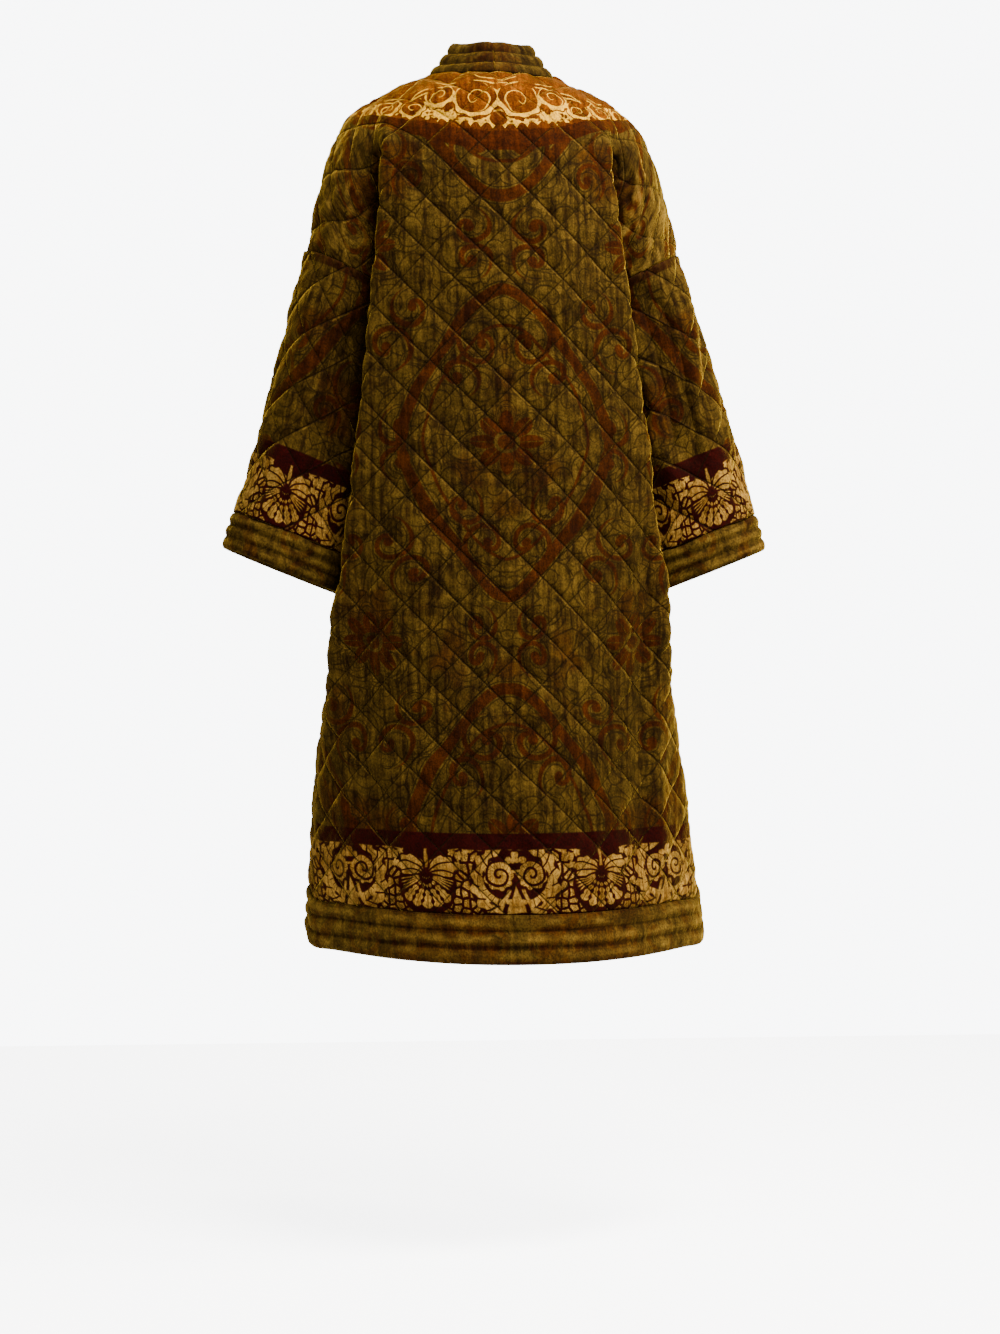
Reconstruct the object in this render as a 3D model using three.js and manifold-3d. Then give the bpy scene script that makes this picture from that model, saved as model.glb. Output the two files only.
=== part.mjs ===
// A quilted velvet kimono coat, filled out as it is worn, with nothing inside it.
// Millimetres, +Z up, the front towards -Y, the wearer's left towards +X.
// The origin is the middle of the neck opening, level with the tops of the shoulders.
// Each piece is cut flat from quilted cloth, with its stitch lines, and then draped on the coat's form.
import * as THREE from "three";
import { mergeVertices } from "three/addons/utils/BufferGeometryUtils.js";
import Module from "manifold-3d";

const wasm = await Module();
wasm.setup();

// Cloth
const quiltSpacing = 50; // between parallel stitch lines, which run on the bias
const cell = quiltSpacing / Math.SQRT2; // half the diagonal of a quilted diamond
const wall = 3; // thickness at a stitch line
const loft = 4; // how far a diamond's middle stands above its stitch lines
const channelLoft = 3.5; // the same for a band's channels
const seamGap = 0.3; // between two pieces that are sewn together
const unevenness = 0.03; // keeps level cloth in small facets, so that it can bend when it is draped
const latticeStart = -43.9; // where the stitch lines cross, across the body
const latticeDrop = 7.4; // and down from the shoulder seam

// Cut
const hemDrop = 1215; // from the shoulder seam to the bottom edge
const hemBandWidth = 64;
const cuffBandWidth = 50;
const neckBandWidth = 58;
const channelsPerBand = 3;
const armholeDepth = 213; // from the shoulder seam down to the underarm
const backNeckDrop = 26;
const neckHalfWidth = 84; // along the shoulder seam, from the middle to the neckband
const frontEdge = 59.5; // from the middle to the neckband's seam, down the front
const neckSlopeDrop = 250; // where the front edge has come in to frontEdge
const sleeveLength = 410; // from the armhole to the end of the cuff
const bandStep = 48; // along a band, between its cross-sections

// How far the coat's middle lies to the wearer's left, at a height
const sway = [
  { z: -1180, x: -22 },
  { z: -840, x: -10 },
  { z: -500, x: -10 },
  { z: -200, x: -3 },
  { z: 60, x: 0 },
];

// Sections across the body. over is the way from the shoulder seam down the back (minus) or the front
// (plus). A section runs from the middle to a ridge, into the valley beside the arm, and on to the
// armhole or the side seam. bulge says how full it is between the middle and the ridge.
const sectionColumns = [
  "over", "midY", "midZ", "ridgeX", "ridgeY", "ridgeZ", "valleyX", "valleyY", "valleyZ", "bulge",
];
const sections = [
  [-1215, 196, -1180, 261, 36, -1169, 265, 16, -1157, 2.3],
  [-950, 175, -916, 234, 58, -913, 239, 27, -907, 2.3],
  [-680, 152, -647, 208, 88, -648, 186, 26, -668, 2.4],
  [-420, 139, -388, 177, 101, -389, 150, 32, -435, 2.4],
  [-300, 139, -268, 163, 106, -269, 136, 34, -320, 2.3],
  [-213, 138, -181, 154, 106, -182, 137, 44, -208, 2.2],
  [-150, 130, -118, 149, 98, -120, 143, 62, -138, 2.1],
  [-90, 110, -61, 149, 72, -84, 165, 69, -110, 2.0],
  [-40, 80, -22, 162, 36, -59, 186, 37, -83, 1.6],
  [0, 36, 3, 174, 0, -50, 203, -2, -79, 1.2],
  [40, -2, 0, 162, -36, -58, 186, -38, -82, 1.2],
  [90, -52, -40, 150, -72, -88, 166, -70, -114, 1.6],
  [150, -98, -108, 146, -94, -130, 142, -62, -146, 2.0],
  [213, -124, -173, 150, -104, -190, 135, -44, -212, 2.1],
  [300, -138, -262, 156, -108, -274, 131, -36, -322, 2.2],
  [420, -140, -383, 168, -108, -391, 146, -34, -437, 2.3],
  [680, -146, -642, 196, -102, -649, 183, -36, -670, 2.4],
  [950, -160, -910, 228, -76, -913, 238, -34, -907, 2.3],
  [1215, -172, -1172, 252, -58, -1166, 263, -26, -1157, 2.3],
].map((row) => Object.fromEntries(sectionColumns.map((name, k) => [name, row[k]])));

// The side seam below the underarm, by its drop from the shoulder seam
const sideSeam = [
  { drop: 213, x: 142, y: 0, z: -300 },
  { drop: 300, x: 134, y: -1, z: -370 },
  { drop: 420, x: 149, y: -3, z: -468 },
  { drop: 680, x: 185, y: -5, z: -686 },
  { drop: 950, x: 239, y: -3, z: -905 },
  { drop: 1215, x: 267, y: -4, z: -1151 },
];

// Rings round the arm, by the way along the sleeve from the armhole. The ring before the armhole
// belongs to the body's dropped shoulder. shift carries the hanging sleeve forwards.
const armRings = [
  { along: -106, topX: 227, topZ: -142, bottomX: 138, bottomZ: -190, depth: 70, shift: -2 },
  { along: 0, topX: 250, topZ: -243, bottomX: 142, bottomZ: -300, depth: 76, shift: -4 },
  { along: 100, topX: 279, topZ: -339, bottomX: 167, bottomZ: -392, depth: 72, shift: -8 },
  { along: 200, topX: 308, topZ: -436, bottomX: 181, bottomZ: -490, depth: 66, shift: -12 },
  { along: 300, topX: 336, topZ: -533, bottomX: 191, bottomZ: -592, depth: 63, shift: -16 },
  { along: 410, topX: 367, topZ: -639, bottomX: 203, bottomZ: -704, depth: 62, shift: -20 },
];

// Soft folds down the outside of the sleeves. round is how far round the sleeve they lie, from the
// outer arm (0) by the back to the underarm (1). A minus height is a trough.
const sleeveFolds = {
  left: [
    { round: 0.6, width: 34, height: -6, from: 20, to: 330 },
    { round: 0.8, width: 30, height: 5, from: 40, to: 400 },
  ],
  right: [
    { round: 0.48, width: 32, height: -9, from: 10, to: 300 },
    { round: 0.7, width: 34, height: 9, from: 20, to: 330 },
  ],
};

// Soft folds down the skirt of the coat. across is the way round from the middle of the back.
const bodyFolds = [
  { across: -232, width: 26, height: 6, from: 640, to: 1150 },
  { across: -190, width: 24, height: -5, from: 620, to: 1100 },
  { across: 238, width: 30, height: 5, from: 700, to: 1180 },
];

// The way that the standing neckband leans, from its seam, by the way along the seam from the middle
// of the back. Past the last row it lies on the front as the front itself does.
const neckBandLean = [
  { along: 0, x: 0, y: -0.56, z: 0.83 },
  { along: 60, x: -0.42, y: -0.4, z: 0.81 },
  { along: 110, x: -0.62, y: -0.02, z: 0.78 },
  { along: 170, x: -0.76, y: 0.08, z: 0.64 },
  { along: 240, x: -0.93, y: -0.02, z: 0.36 },
  { along: 330, x: -0.99, y: -0.06, z: 0.06 },
];

const vec = (x, y, z) => new THREE.Vector3(x, y, z);
const clamp01 = (x) => Math.min(1, Math.max(0, x));
const smooth = (x) => clamp01(x) ** 2 * (3 - 2 * clamp01(x));

// A column of a table at a place between its rows, on a smooth curve through them
function column(table, key, at, name) {
  let i = 0;
  while (i < table.length - 2 && at > table[i + 1][key]) i += 1;
  const row = (k) => table[Math.min(table.length - 1, Math.max(0, k))];
  const slope = (k) => {
    const [before, after] = [row(k - 1), row(k + 1)];
    return (after[name] - before[name]) / (after[key] - before[key]);
  };
  const [a, b] = [row(i), row(i + 1)];
  const span = b[key] - a[key];
  const f = (at - a[key]) / span;
  if (f < 0) return a[name] + slope(i) * (at - a[key]);
  if (f > 1) return b[name] + slope(i + 1) * (at - b[key]);
  const f2 = f * f;
  const f3 = f2 * f;
  return (
    (2 * f3 - 3 * f2 + 1) * a[name] + (f3 - 2 * f2 + f) * span * slope(i) +
    (3 * f2 - 2 * f3) * b[name] + (f3 - f2) * span * slope(i + 1)
  );
}

const shoulderRing = armRings[0].along;
const upperArmRing = armRings[2].along;

// A point on a ring round the arm: turn is 0 on the outer arm, pi at the underarm, and past the back
// where it is positive
function armPoint(along, turn) {
  const at = (name) => column(armRings, "along", along, name);
  const top = vec(at("topX"), 0, at("topZ"));
  const bottom = vec(at("bottomX"), 0, at("bottomZ"));
  const middle = top.clone().add(bottom).multiplyScalar(0.5);
  const half = top.sub(bottom).multiplyScalar(0.5);
  return middle
    .addScaledVector(half, Math.cos(turn))
    .add(vec(0, at("shift") + at("depth") * Math.sin(turn), 0));
}

// The points that a section across the body passes through, from the middle to its edge and one past it
function sectionPoints(over) {
  const at = (name) => column(sections, "over", over, name);
  const drop = Math.abs(over);
  const side = over < 0 ? 1 : -1;
  const fill = (share) =>
    vec(
      at("ridgeX") * share,
      at("midY") + (at("ridgeY") - at("midY")) * share ** at("bulge"),
      at("midZ") + (at("ridgeZ") - at("midZ")) * share ** 2,
    );
  const valley = vec(at("valleyX"), at("valleyY"), at("valleyZ"));
  const points = [fill(0), fill(0.3), fill(0.6), fill(0.88), fill(1), valley];
  const across = (name) => column(sections, "over", -over, name);
  const beyond = vec(across("valleyX"), across("valleyY"), across("valleyZ"));
  if (drop < armholeDepth) {
    const turn = (side * Math.PI * drop) / armholeDepth;
    const under = smooth((drop / armholeDepth - 0.5) / 0.5);
    const edge = armPoint(0, turn);
    const arm = armPoint(shoulderRing, turn).lerp(valley.clone().lerp(edge, 0.6), under);
    const past = armPoint(upperArmRing, turn).lerp(beyond.lerp(edge, 0.6), under);
    return [...points, arm, edge, past];
  }
  const seam = (name) => column(sideSeam, "drop", drop, name);
  const edge = vec(seam("x"), seam("y"), seam("z"));
  return [...points, valley.clone().lerp(edge, 0.6), edge, beyond.lerp(edge, 0.6)];
}

// A smooth curve through points, as many short steps and the length along it at each. The first point
// is mirrored in the middle plane, and the last only steers the end.
const stepsPerSpan = 16;
function sectionCurve(points) {
  const mirrored = vec(-points[1].x, points[1].y, points[1].z);
  const all = [mirrored, ...points];
  const curve = [];
  for (let i = 1; i < all.length - 2; i += 1) {
    const [p0, p1, p2, p3] = all.slice(i - 1, i + 3);
    const d1 = Math.sqrt(p1.distanceTo(p0));
    const d2 = Math.max(Math.sqrt(p2.distanceTo(p1)), 1e-3);
    const d3 = Math.sqrt(p3.distanceTo(p2));
    const tangent = (a, b, c, da, db) =>
      vec(0, 0, 0)
        .addScaledVector(b.clone().sub(a), 1 / da)
        .addScaledVector(c.clone().sub(a), -1 / (da + db))
        .addScaledVector(c.clone().sub(b), 1 / db)
        .multiplyScalar(d2);
    const m1 = tangent(p0, p1, p2, d1, d2);
    const m2 = tangent(p1, p2, p3, d2, d3);
    for (let k = i === 1 ? 0 : 1; k <= stepsPerSpan; k += 1) {
      const f = k / stepsPerSpan;
      curve.push(
        vec(0, 0, 0)
          .addScaledVector(p1, 2 * f ** 3 - 3 * f ** 2 + 1)
          .addScaledVector(m1, f ** 3 - 2 * f ** 2 + f)
          .addScaledVector(p2, 3 * f ** 2 - 2 * f ** 3)
          .addScaledVector(m2, f ** 3 - f ** 2),
      );
    }
  }
  const length = [0];
  for (let i = 1; i < curve.length; i += 1)
    length.push(length[i - 1] + curve[i].distanceTo(curve[i - 1]));
  return { curve, length };
}

// A point at a length along such a curve, past its end too
function pointAlong({ curve, length }, along) {
  let low = 0;
  let high = length.length - 1;
  while (high - low > 1) {
    const middle = (low + high) >> 1;
    if (length[middle] > along) high = middle;
    else low = middle;
  }
  const f = (along - length[low]) / (length[high] - length[low]);
  return curve[low].clone().lerp(curve[high], f);
}

const sectionCache = new Map();
function section(over) {
  const key = Math.round(over * 1000);
  if (!sectionCache.has(key)) sectionCache.set(key, sectionCurve(sectionPoints(over)));
  return sectionCache.get(key);
}
const halfWidth = (over) => section(over).length.at(-1);

const swayed = (p) => vec(p.x + column(sway, "z", p.z, "x"), p.y, p.z);

// The body's form: across is measured along the cloth from the middle, to the wearer's left
function bodyForm(across, over) {
  const p = pointAlong(section(over), Math.abs(across));
  if (across < 0) p.x = -p.x;
  return swayed(p);
}

// The sleeve's form: round is measured along the cloth from the outer arm, past the back where it is
// positive, and side is 1 for the wearer's left sleeve
const ringCache = new Map();
const ringSteps = 180;
function ring(along) {
  const key = Math.round(along * 1000);
  if (!ringCache.has(key)) {
    const curve = [];
    for (let i = 0; i <= ringSteps; i += 1)
      curve.push(armPoint(along, (Math.PI * (2 * i - ringSteps)) / ringSteps));
    const length = [0];
    for (let i = 1; i < curve.length; i += 1)
      length.push(length[i - 1] + curve[i].distanceTo(curve[i - 1]));
    const half = length[ringSteps / 2];
    ringCache.set(key, { curve, length: length.map((d) => d - half), half });
  }
  return ringCache.get(key);
}
function sleeveForm(side) {
  return (along, round) => {
    const p = pointAlong(ring(along), round);
    return swayed(vec(side * p.x, p.y, p.z));
  };
}

// A fold's height at a place across and along it
function foldAt(fold, across, along) {
  const side = Math.exp(-(((across - fold.centre) / fold.width) ** 2));
  const ends = smooth((along - fold.from) / 70) * smooth((fold.to - along) / 90);
  return fold.height * side * ends;
}
const bodyFold = (across, over) =>
  over > 0
    ? 0
    : bodyFolds.reduce((sum, f) => sum + foldAt({ ...f, centre: f.across }, across, -over), 0);
const sleeveFold = (name) => (along, round) =>
  sleeveFolds[name].reduce(
    (sum, f) => sum + foldAt({ ...f, centre: f.round * ring(along).half }, round, along),
    0,
  );

// The way out of a form's surface, at right angles to it
const reach = 3;
function outOf(form, u, v, turnOver) {
  const du = form(u + reach, v).sub(form(u - reach, v));
  const dv = form(u, v + reach).sub(form(u, v - reach));
  return du.cross(dv).normalize().multiplyScalar(turnOver);
}

// The way out that two pieces share at the armhole or the side seam, for the wearer's left
function outAtSeam(over) {
  const drop = Math.abs(over);
  if (drop < armholeDepth) {
    const turn = (-Math.sign(over) * Math.PI * drop) / armholeDepth;
    return outOf((u, v) => armPoint(u, turn + v / reach / 50), 0, 0, 1);
  }
  const back = outOf((u, v) => bodyForm(u, -v), halfWidth(-drop), drop, 1);
  return back.add(outOf(bodyForm, halfWidth(drop), drop, -1)).normalize();
}

// Places a point of flat cloth on a form: u and v lie in the cloth and h is its height off the form
function drape(form, fold, turnOver) {
  const place = (u, v, h) =>
    form(u, v).addScaledVector(outOf(form, u, v, turnOver), h + fold(u, v));
  return { place, turnOver };
}

// The same for the back (way is -1) or the front (way is 1), down from the shoulder seam
const seamReach = 34;
function drapeBody(way, fold) {
  const form = (u, v) => bodyForm(u, way * v);
  const place = (u, v, h) => {
    const out = outOf(form, u, v, -way);
    const near = smooth(1 - (halfWidth(way * v) - Math.abs(u)) / seamReach);
    if (near > 0) {
      const shared = outAtSeam(way * Math.max(v, 0.1));
      out.lerp(vec(shared.x * Math.sign(u), shared.y, shared.z), near).normalize();
    }
    return form(u, v).addScaledVector(out, h + fold(u, v));
  };
  return { place, turnOver: -way };
}

// Pillows flatten where the sleeve and the body part under the arm
const underarm = armPoint(0, Math.PI);
function calm(p) {
  const away = vec(Math.abs(p.x - column(sway, "z", p.z, "x")), p.y, p.z).distanceTo(underarm);
  return smooth((away - 12) / 50);
}

function solidOf(positions, triangles) {
  return new wasm.Manifold(
    new wasm.Mesh({
      numProp: 3,
      vertProperties: Float32Array.from(positions),
      triVerts: Uint32Array.from(triangles),
    }),
  );
}

// A flat slab of cloth on a grid, with a top of its own height at each grid point. splitUp says which
// way a cell is cut into two triangles.
function slab(us, vs, topAt, splitUp, low) {
  const positions = [];
  const triangles = [];
  const index = (i, j, k) => (i * vs.length + j) * 2 + k;
  const uneven = (i, j) => unevenness * ((i * i + 2 * j * j + i * j) % 5);
  us.forEach((u, i) =>
    vs.forEach((v, j) => {
      positions.push(u, v, low - uneven(i, j), u, v, topAt(u, v, i, j) + uneven(j, i));
    }),
  );
  const quad = (a, b, c, d) => triangles.push(a, b, c, a, c, d);
  for (let i = 0; i < us.length - 1; i += 1)
    for (let j = 0; j < vs.length - 1; j += 1)
      for (const k of [0, 1]) {
        const corners = [index(i, j, k), index(i + 1, j, k), index(i + 1, j + 1, k), index(i, j + 1, k)];
        if (!splitUp(i, j)) corners.push(corners.shift());
        if (k) quad(...corners);
        else quad(...corners.reverse());
      }
  for (let i = 0; i < us.length - 1; i += 1) {
    quad(index(i, 0, 0), index(i + 1, 0, 0), index(i + 1, 0, 1), index(i, 0, 1));
    const j = vs.length - 1;
    quad(index(i + 1, j, 0), index(i, j, 0), index(i, j, 1), index(i + 1, j, 1));
  }
  for (let j = 0; j < vs.length - 1; j += 1) {
    quad(index(0, j + 1, 0), index(0, j, 0), index(0, j, 1), index(0, j + 1, 1));
    const i = us.length - 1;
    quad(index(i, j, 0), index(i, j + 1, 0), index(i, j + 1, 1), index(i, j, 1));
  }
  return solidOf(positions, triangles);
}

const steps = (from, to, count) =>
  Array.from({ length: count + 1 }, (_, i) => from + ((to - from) * i) / count);

// Cloth quilted in diamonds, over a stretch that is larger than the piece to be cut
function quiltedCloth(uFrom, uTo, vFrom, vTo, uStart, vStart) {
  const first = (from, start) => Math.floor((from - start) / cell) - 1;
  const last = (to, start) => Math.ceil((to - start) / cell) + 1;
  const range = (from, to, start) =>
    Array.from({ length: last(to, start) - first(from, start) + 1 }, (_, k) => first(from, start) + k);
  const is = range(uFrom, uTo, uStart);
  const js = range(vFrom, vTo, vStart);
  const crossing = (i, j) => (is[i] + js[j]) % 2 === 0;
  return slab(
    is.map((i) => uStart + i * cell),
    js.map((j) => vStart + j * cell),
    (u, v, i, j) => (crossing(i, j) ? 0 : loft),
    (i, j) => crossing(i, j),
    -wall,
  );
}

// Cloth stitched in straight channels that run along u
function channelledCloth(uFrom, uTo, vFrom, vTo) {
  const rows = steps(vFrom, vTo, channelsPerBand * 3);
  const columns = steps(uFrom, uTo, Math.ceil((uTo - uFrom) / bandStep));
  return slab(columns, rows, (u, v, i, j) => (j % 3 ? channelLoft : 0), () => true, -wall);
}

// Cuts cloth along a flat outline
function cut(cloth, outline) {
  const shape = new THREE.Shape(outline.map(([u, v]) => new THREE.Vector2(u, v)));
  const tall = 60;
  const block = new THREE.ExtrudeGeometry(shape, { depth: tall, bevelEnabled: false, steps: 1 });
  block.deleteAttribute("normal");
  block.deleteAttribute("uv");
  block.translate(0, 0, -tall / 2);
  const merged = mergeVertices(block, 1e-4);
  return cloth.intersect(solidOf(merged.attributes.position.array, merged.index.array));
}

// Drapes a cut piece and returns it as a solid
function draped(piece, { place, turnOver }, calmed = true) {
  const mesh = piece.getMesh();
  const positions = [];
  for (let i = 0; i < mesh.vertProperties.length; i += mesh.numProp) {
    const [u, v, h] = mesh.vertProperties.slice(i, i + 3);
    const lift = h > 0 && calmed ? h * calm(place(u, v, 0)) : h;
    positions.push(...place(u, v, lift).toArray());
  }
  const triangles = [...mesh.triVerts];
  if (turnOver < 0) triangles.reverse();
  return solidOf(positions, triangles);
}

const gap = seamGap / 2;
const bodyEnd = hemDrop - hemBandWidth;
const clothHalf = 460; // half of the cloth that the back and the fronts are cut from

// Points down a side edge: the armhole in close steps, then the side seam in wide ones
const armholeSteps = 22;
function sideEdge(sign, to, inset) {
  const drops = [
    ...steps(0, armholeDepth, armholeSteps).map((d) => Math.max(d, inset)),
    ...steps(armholeDepth, to, Math.round((to - armholeDepth) / cell)).slice(1),
  ];
  return drops.map((d) => [halfWidth(sign * d) - inset, d]);
}

// How far the front edge is from the middle, by its drop
function frontEdgeAt(drop) {
  const slope = smooth(drop / neckSlopeDrop);
  return neckHalfWidth + (frontEdge - neckHalfWidth) * slope;
}

// The back's neckline, from the left shoulder seam to the right one
function backNeck(inset) {
  return steps(0, Math.PI, 16).map((a) => [
    (neckHalfWidth + inset) * Math.cos(a),
    Math.max(inset, backNeckDrop * Math.sin(a) + inset),
  ]);
}

function backPiece() {
  const left = sideEdge(-1, bodyEnd - gap, gap);
  const right = left.map(([u, v]) => [-u, v]).reverse();
  const outline = [...backNeck(gap).reverse(), ...left, ...right];
  const cloth = quiltedCloth(-clothHalf, clothHalf, 0, bodyEnd, latticeStart, latticeDrop);
  return draped(cut(cloth, outline), drapeBody(-1, (u, v) => bodyFold(u, -v)));
}

function frontPiece(side) {
  const outer = sideEdge(1, bodyEnd - gap, gap);
  const drops = [...steps(gap, neckSlopeDrop, 10), bodyEnd - gap];
  const inner = drops.map((d) => [frontEdgeAt(d) + gap, d]);
  const outline = [...outer, ...inner.reverse()].map(([u, v]) => [side * u, v]);
  const [from, to] = side > 0 ? [0, clothHalf] : [-clothHalf, 0];
  const cloth = quiltedCloth(from, to, 0, bodyEnd, latticeStart, latticeDrop);
  return draped(cut(cloth, outline), drapeBody(1, () => 0));
}

function hemPiece(way, from, to) {
  const columns = Math.ceil((to(hemDrop) - from(hemDrop)) / bandStep);
  const edge = (at) => steps(bodyEnd + gap, hemDrop, 3).map((d) => [at(d), d]);
  const outline = [...edge(to), ...edge(from).reverse()];
  const low = Math.min(from(bodyEnd), from(hemDrop)) - bandStep;
  const flat = cut(channelledCloth(low, low + (columns + 3) * bandStep, bodyEnd + gap, hemDrop), outline);
  return draped(flat, drapeBody(way, way < 0 ? (u, v) => bodyFold(u, -v) : () => 0));
}

function sleeveCloth(name, side, from, to, cloth) {
  const turns = steps(-1, 1, 2 * armholeSteps);
  const edge = (along) => turns.map((f) => [along, f * (ring(along).half - gap)]);
  const lengths = steps(from, to, Math.max(2, Math.round((to - from) / cell)));
  const upper = lengths.slice(1, -1).map((along) => [along, ring(along).half - gap]);
  const lower = upper.map(([u, v]) => [u, -v]).reverse();
  const outline = [...edge(from), ...upper, ...edge(to).reverse(), ...lower];
  const place = drape(sleeveForm(side), sleeveFold(name), side);
  return draped(cut(cloth, outline), place);
}

function sleevePiece(name, side) {
  const end = sleeveLength - cuffBandWidth;
  const cloth = quiltedCloth(0, end, -260, 260, cell / 2, 0);
  return sleeveCloth(name, side, gap, end - gap, cloth);
}

// The cuff's channels run round the sleeve, so its cloth is turned before it is cut
function cuffPiece(name, side) {
  const from = sleeveLength - cuffBandWidth + gap;
  const reach = 7 * bandStep;
  const turned = channelledCloth(-reach, reach, from, sleeveLength).rotate([0, 0, -90]);
  return sleeveCloth(name, side, from, sleeveLength, turned.mirror([0, 1, 0]));
}

// The seam that a half of the neckband is sewn to: the back of the neck from the middle, over the
// shoulder, and down the front edge. inward is the way from each point towards the coat's opening.
function neckSeam(side) {
  const neck = steps(Math.PI / 2, 0, 12).map((a) => [
    neckHalfWidth * Math.cos(a),
    -backNeckDrop * Math.sin(a),
  ]);
  const down = [...steps(0, neckSlopeDrop, 20), ...steps(neckSlopeDrop, hemDrop, 30).slice(1)];
  const flat = [...neck, ...down.slice(1).map((d) => [frontEdgeAt(d), d])];
  const near = 5;
  const at = (across, over) => bodyForm(side * across, over);
  const curve = flat.map(([u, v]) => at(u, v));
  const inward = flat.map(([u, v]) => at(Math.max(u - near, 0), v).sub(at(u + near, v)).normalize());
  const length = [0];
  for (let i = 1; i < curve.length; i += 1)
    length.push(length[i - 1] + curve[i].distanceTo(curve[i - 1]));
  return { curve, length, inward: { curve: inward, length } };
}

// The neckband's form: along its seam from the middle of the back, and out from the seam
function neckBandForm(side, seam) {
  const last = neckBandLean.at(-1).along;
  return (along, out) => {
    const at = (name) => column(neckBandLean, "along", Math.min(Math.max(along, 0), last), name);
    const lean = vec(side * at("x"), at("y"), at("z")).normalize();
    const way = lean.lerp(pointAlong(seam.inward, along), smooth((along - last + 90) / 90));
    return pointAlong(seam, along).addScaledVector(way.normalize(), out);
  };
}

function neckBandPiece(side) {
  const seam = neckSeam(side);
  const end = seam.length.at(-1);
  const cloth = channelledCloth(0, end, 0, neckBandWidth);
  const outline = [
    [gap, seamGap],
    [end, seamGap],
    [end, neckBandWidth],
    [gap, neckBandWidth],
  ];
  return draped(cut(cloth, outline), drape(neckBandForm(side, seam), () => 0, -side), false);
}

const velvet = { olive: 0x5a4a14, band: 0x4d4316 };

function meshOf(name, solid, colour) {
  const { numProp, vertProperties, triVerts } = solid.getMesh();
  const positions = [];
  for (let i = 0; i < vertProperties.length; i += numProp)
    positions.push(...vertProperties.slice(i, i + 3));
  const geometry = new THREE.BufferGeometry();
  geometry.setAttribute("position", new THREE.Float32BufferAttribute(positions, 3));
  geometry.setIndex([...triVerts]);
  geometry.computeVertexNormals();
  const material = new THREE.MeshStandardMaterial({ color: colour, roughness: 0.9, metalness: 0 });
  const mesh = new THREE.Mesh(geometry, material);
  mesh.name = name;
  return mesh;
}

// Where two edges crowd each other, as under the arm, the later piece gives way to the earlier ones
const made = [];
function add(name, solid, colour) {
  const trimmed = made.reduce((rest, other) => rest.subtract(other), solid);
  const [largest] = trimmed.decompose().sort((a, b) => b.volume() - a.volume());
  made.push(largest);
  kimono.add(meshOf(name, largest, colour));
}

const kimono = new THREE.Group();
add("back", backPiece(), velvet.olive);
for (const [name, side] of [["left", 1], ["right", -1]]) {
  add(`front_${name}`, frontPiece(side), velvet.olive);
  add(`sleeve_${name}`, sleevePiece(name, side), velvet.olive);
  add(`cuff_${name}`, cuffPiece(name, side), velvet.band);
  add(`neckband_${name}`, neckBandPiece(side), velvet.band);
  const inner = (drop) => frontEdgeAt(drop) + gap;
  const outer = (drop) => halfWidth(drop) - gap;
  const [from, to] = side > 0 ? [inner, outer] : [(d) => -outer(d), (d) => -inner(d)];
  add(`hem_front_${name}`, hemPiece(1, from, to), velvet.band);
}
const backHalf = (drop) => halfWidth(-drop) - gap;
add("hem_back", hemPiece(-1, (d) => -backHalf(d), backHalf), velvet.band);

export default kimono;
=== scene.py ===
import math

import bpy
import numpy as np
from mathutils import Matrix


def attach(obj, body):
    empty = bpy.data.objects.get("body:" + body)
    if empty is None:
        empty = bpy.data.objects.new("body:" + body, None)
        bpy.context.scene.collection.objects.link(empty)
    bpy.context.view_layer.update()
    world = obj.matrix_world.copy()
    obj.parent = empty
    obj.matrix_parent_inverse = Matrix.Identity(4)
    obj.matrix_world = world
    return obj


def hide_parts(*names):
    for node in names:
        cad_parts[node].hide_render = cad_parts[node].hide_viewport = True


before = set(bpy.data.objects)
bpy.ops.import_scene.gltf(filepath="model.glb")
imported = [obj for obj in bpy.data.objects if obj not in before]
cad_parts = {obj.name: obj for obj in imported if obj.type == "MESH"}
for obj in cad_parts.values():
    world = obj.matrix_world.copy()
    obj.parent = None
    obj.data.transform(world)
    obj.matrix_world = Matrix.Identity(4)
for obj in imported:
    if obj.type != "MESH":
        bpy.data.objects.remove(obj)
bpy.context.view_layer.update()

# A quilted velvet kimono coat, worn and seen from behind. Lengths of cloth are in millimetres.
# Each piece is drawn on its flat cut, quilted, and laid on the coat's form.

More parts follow.
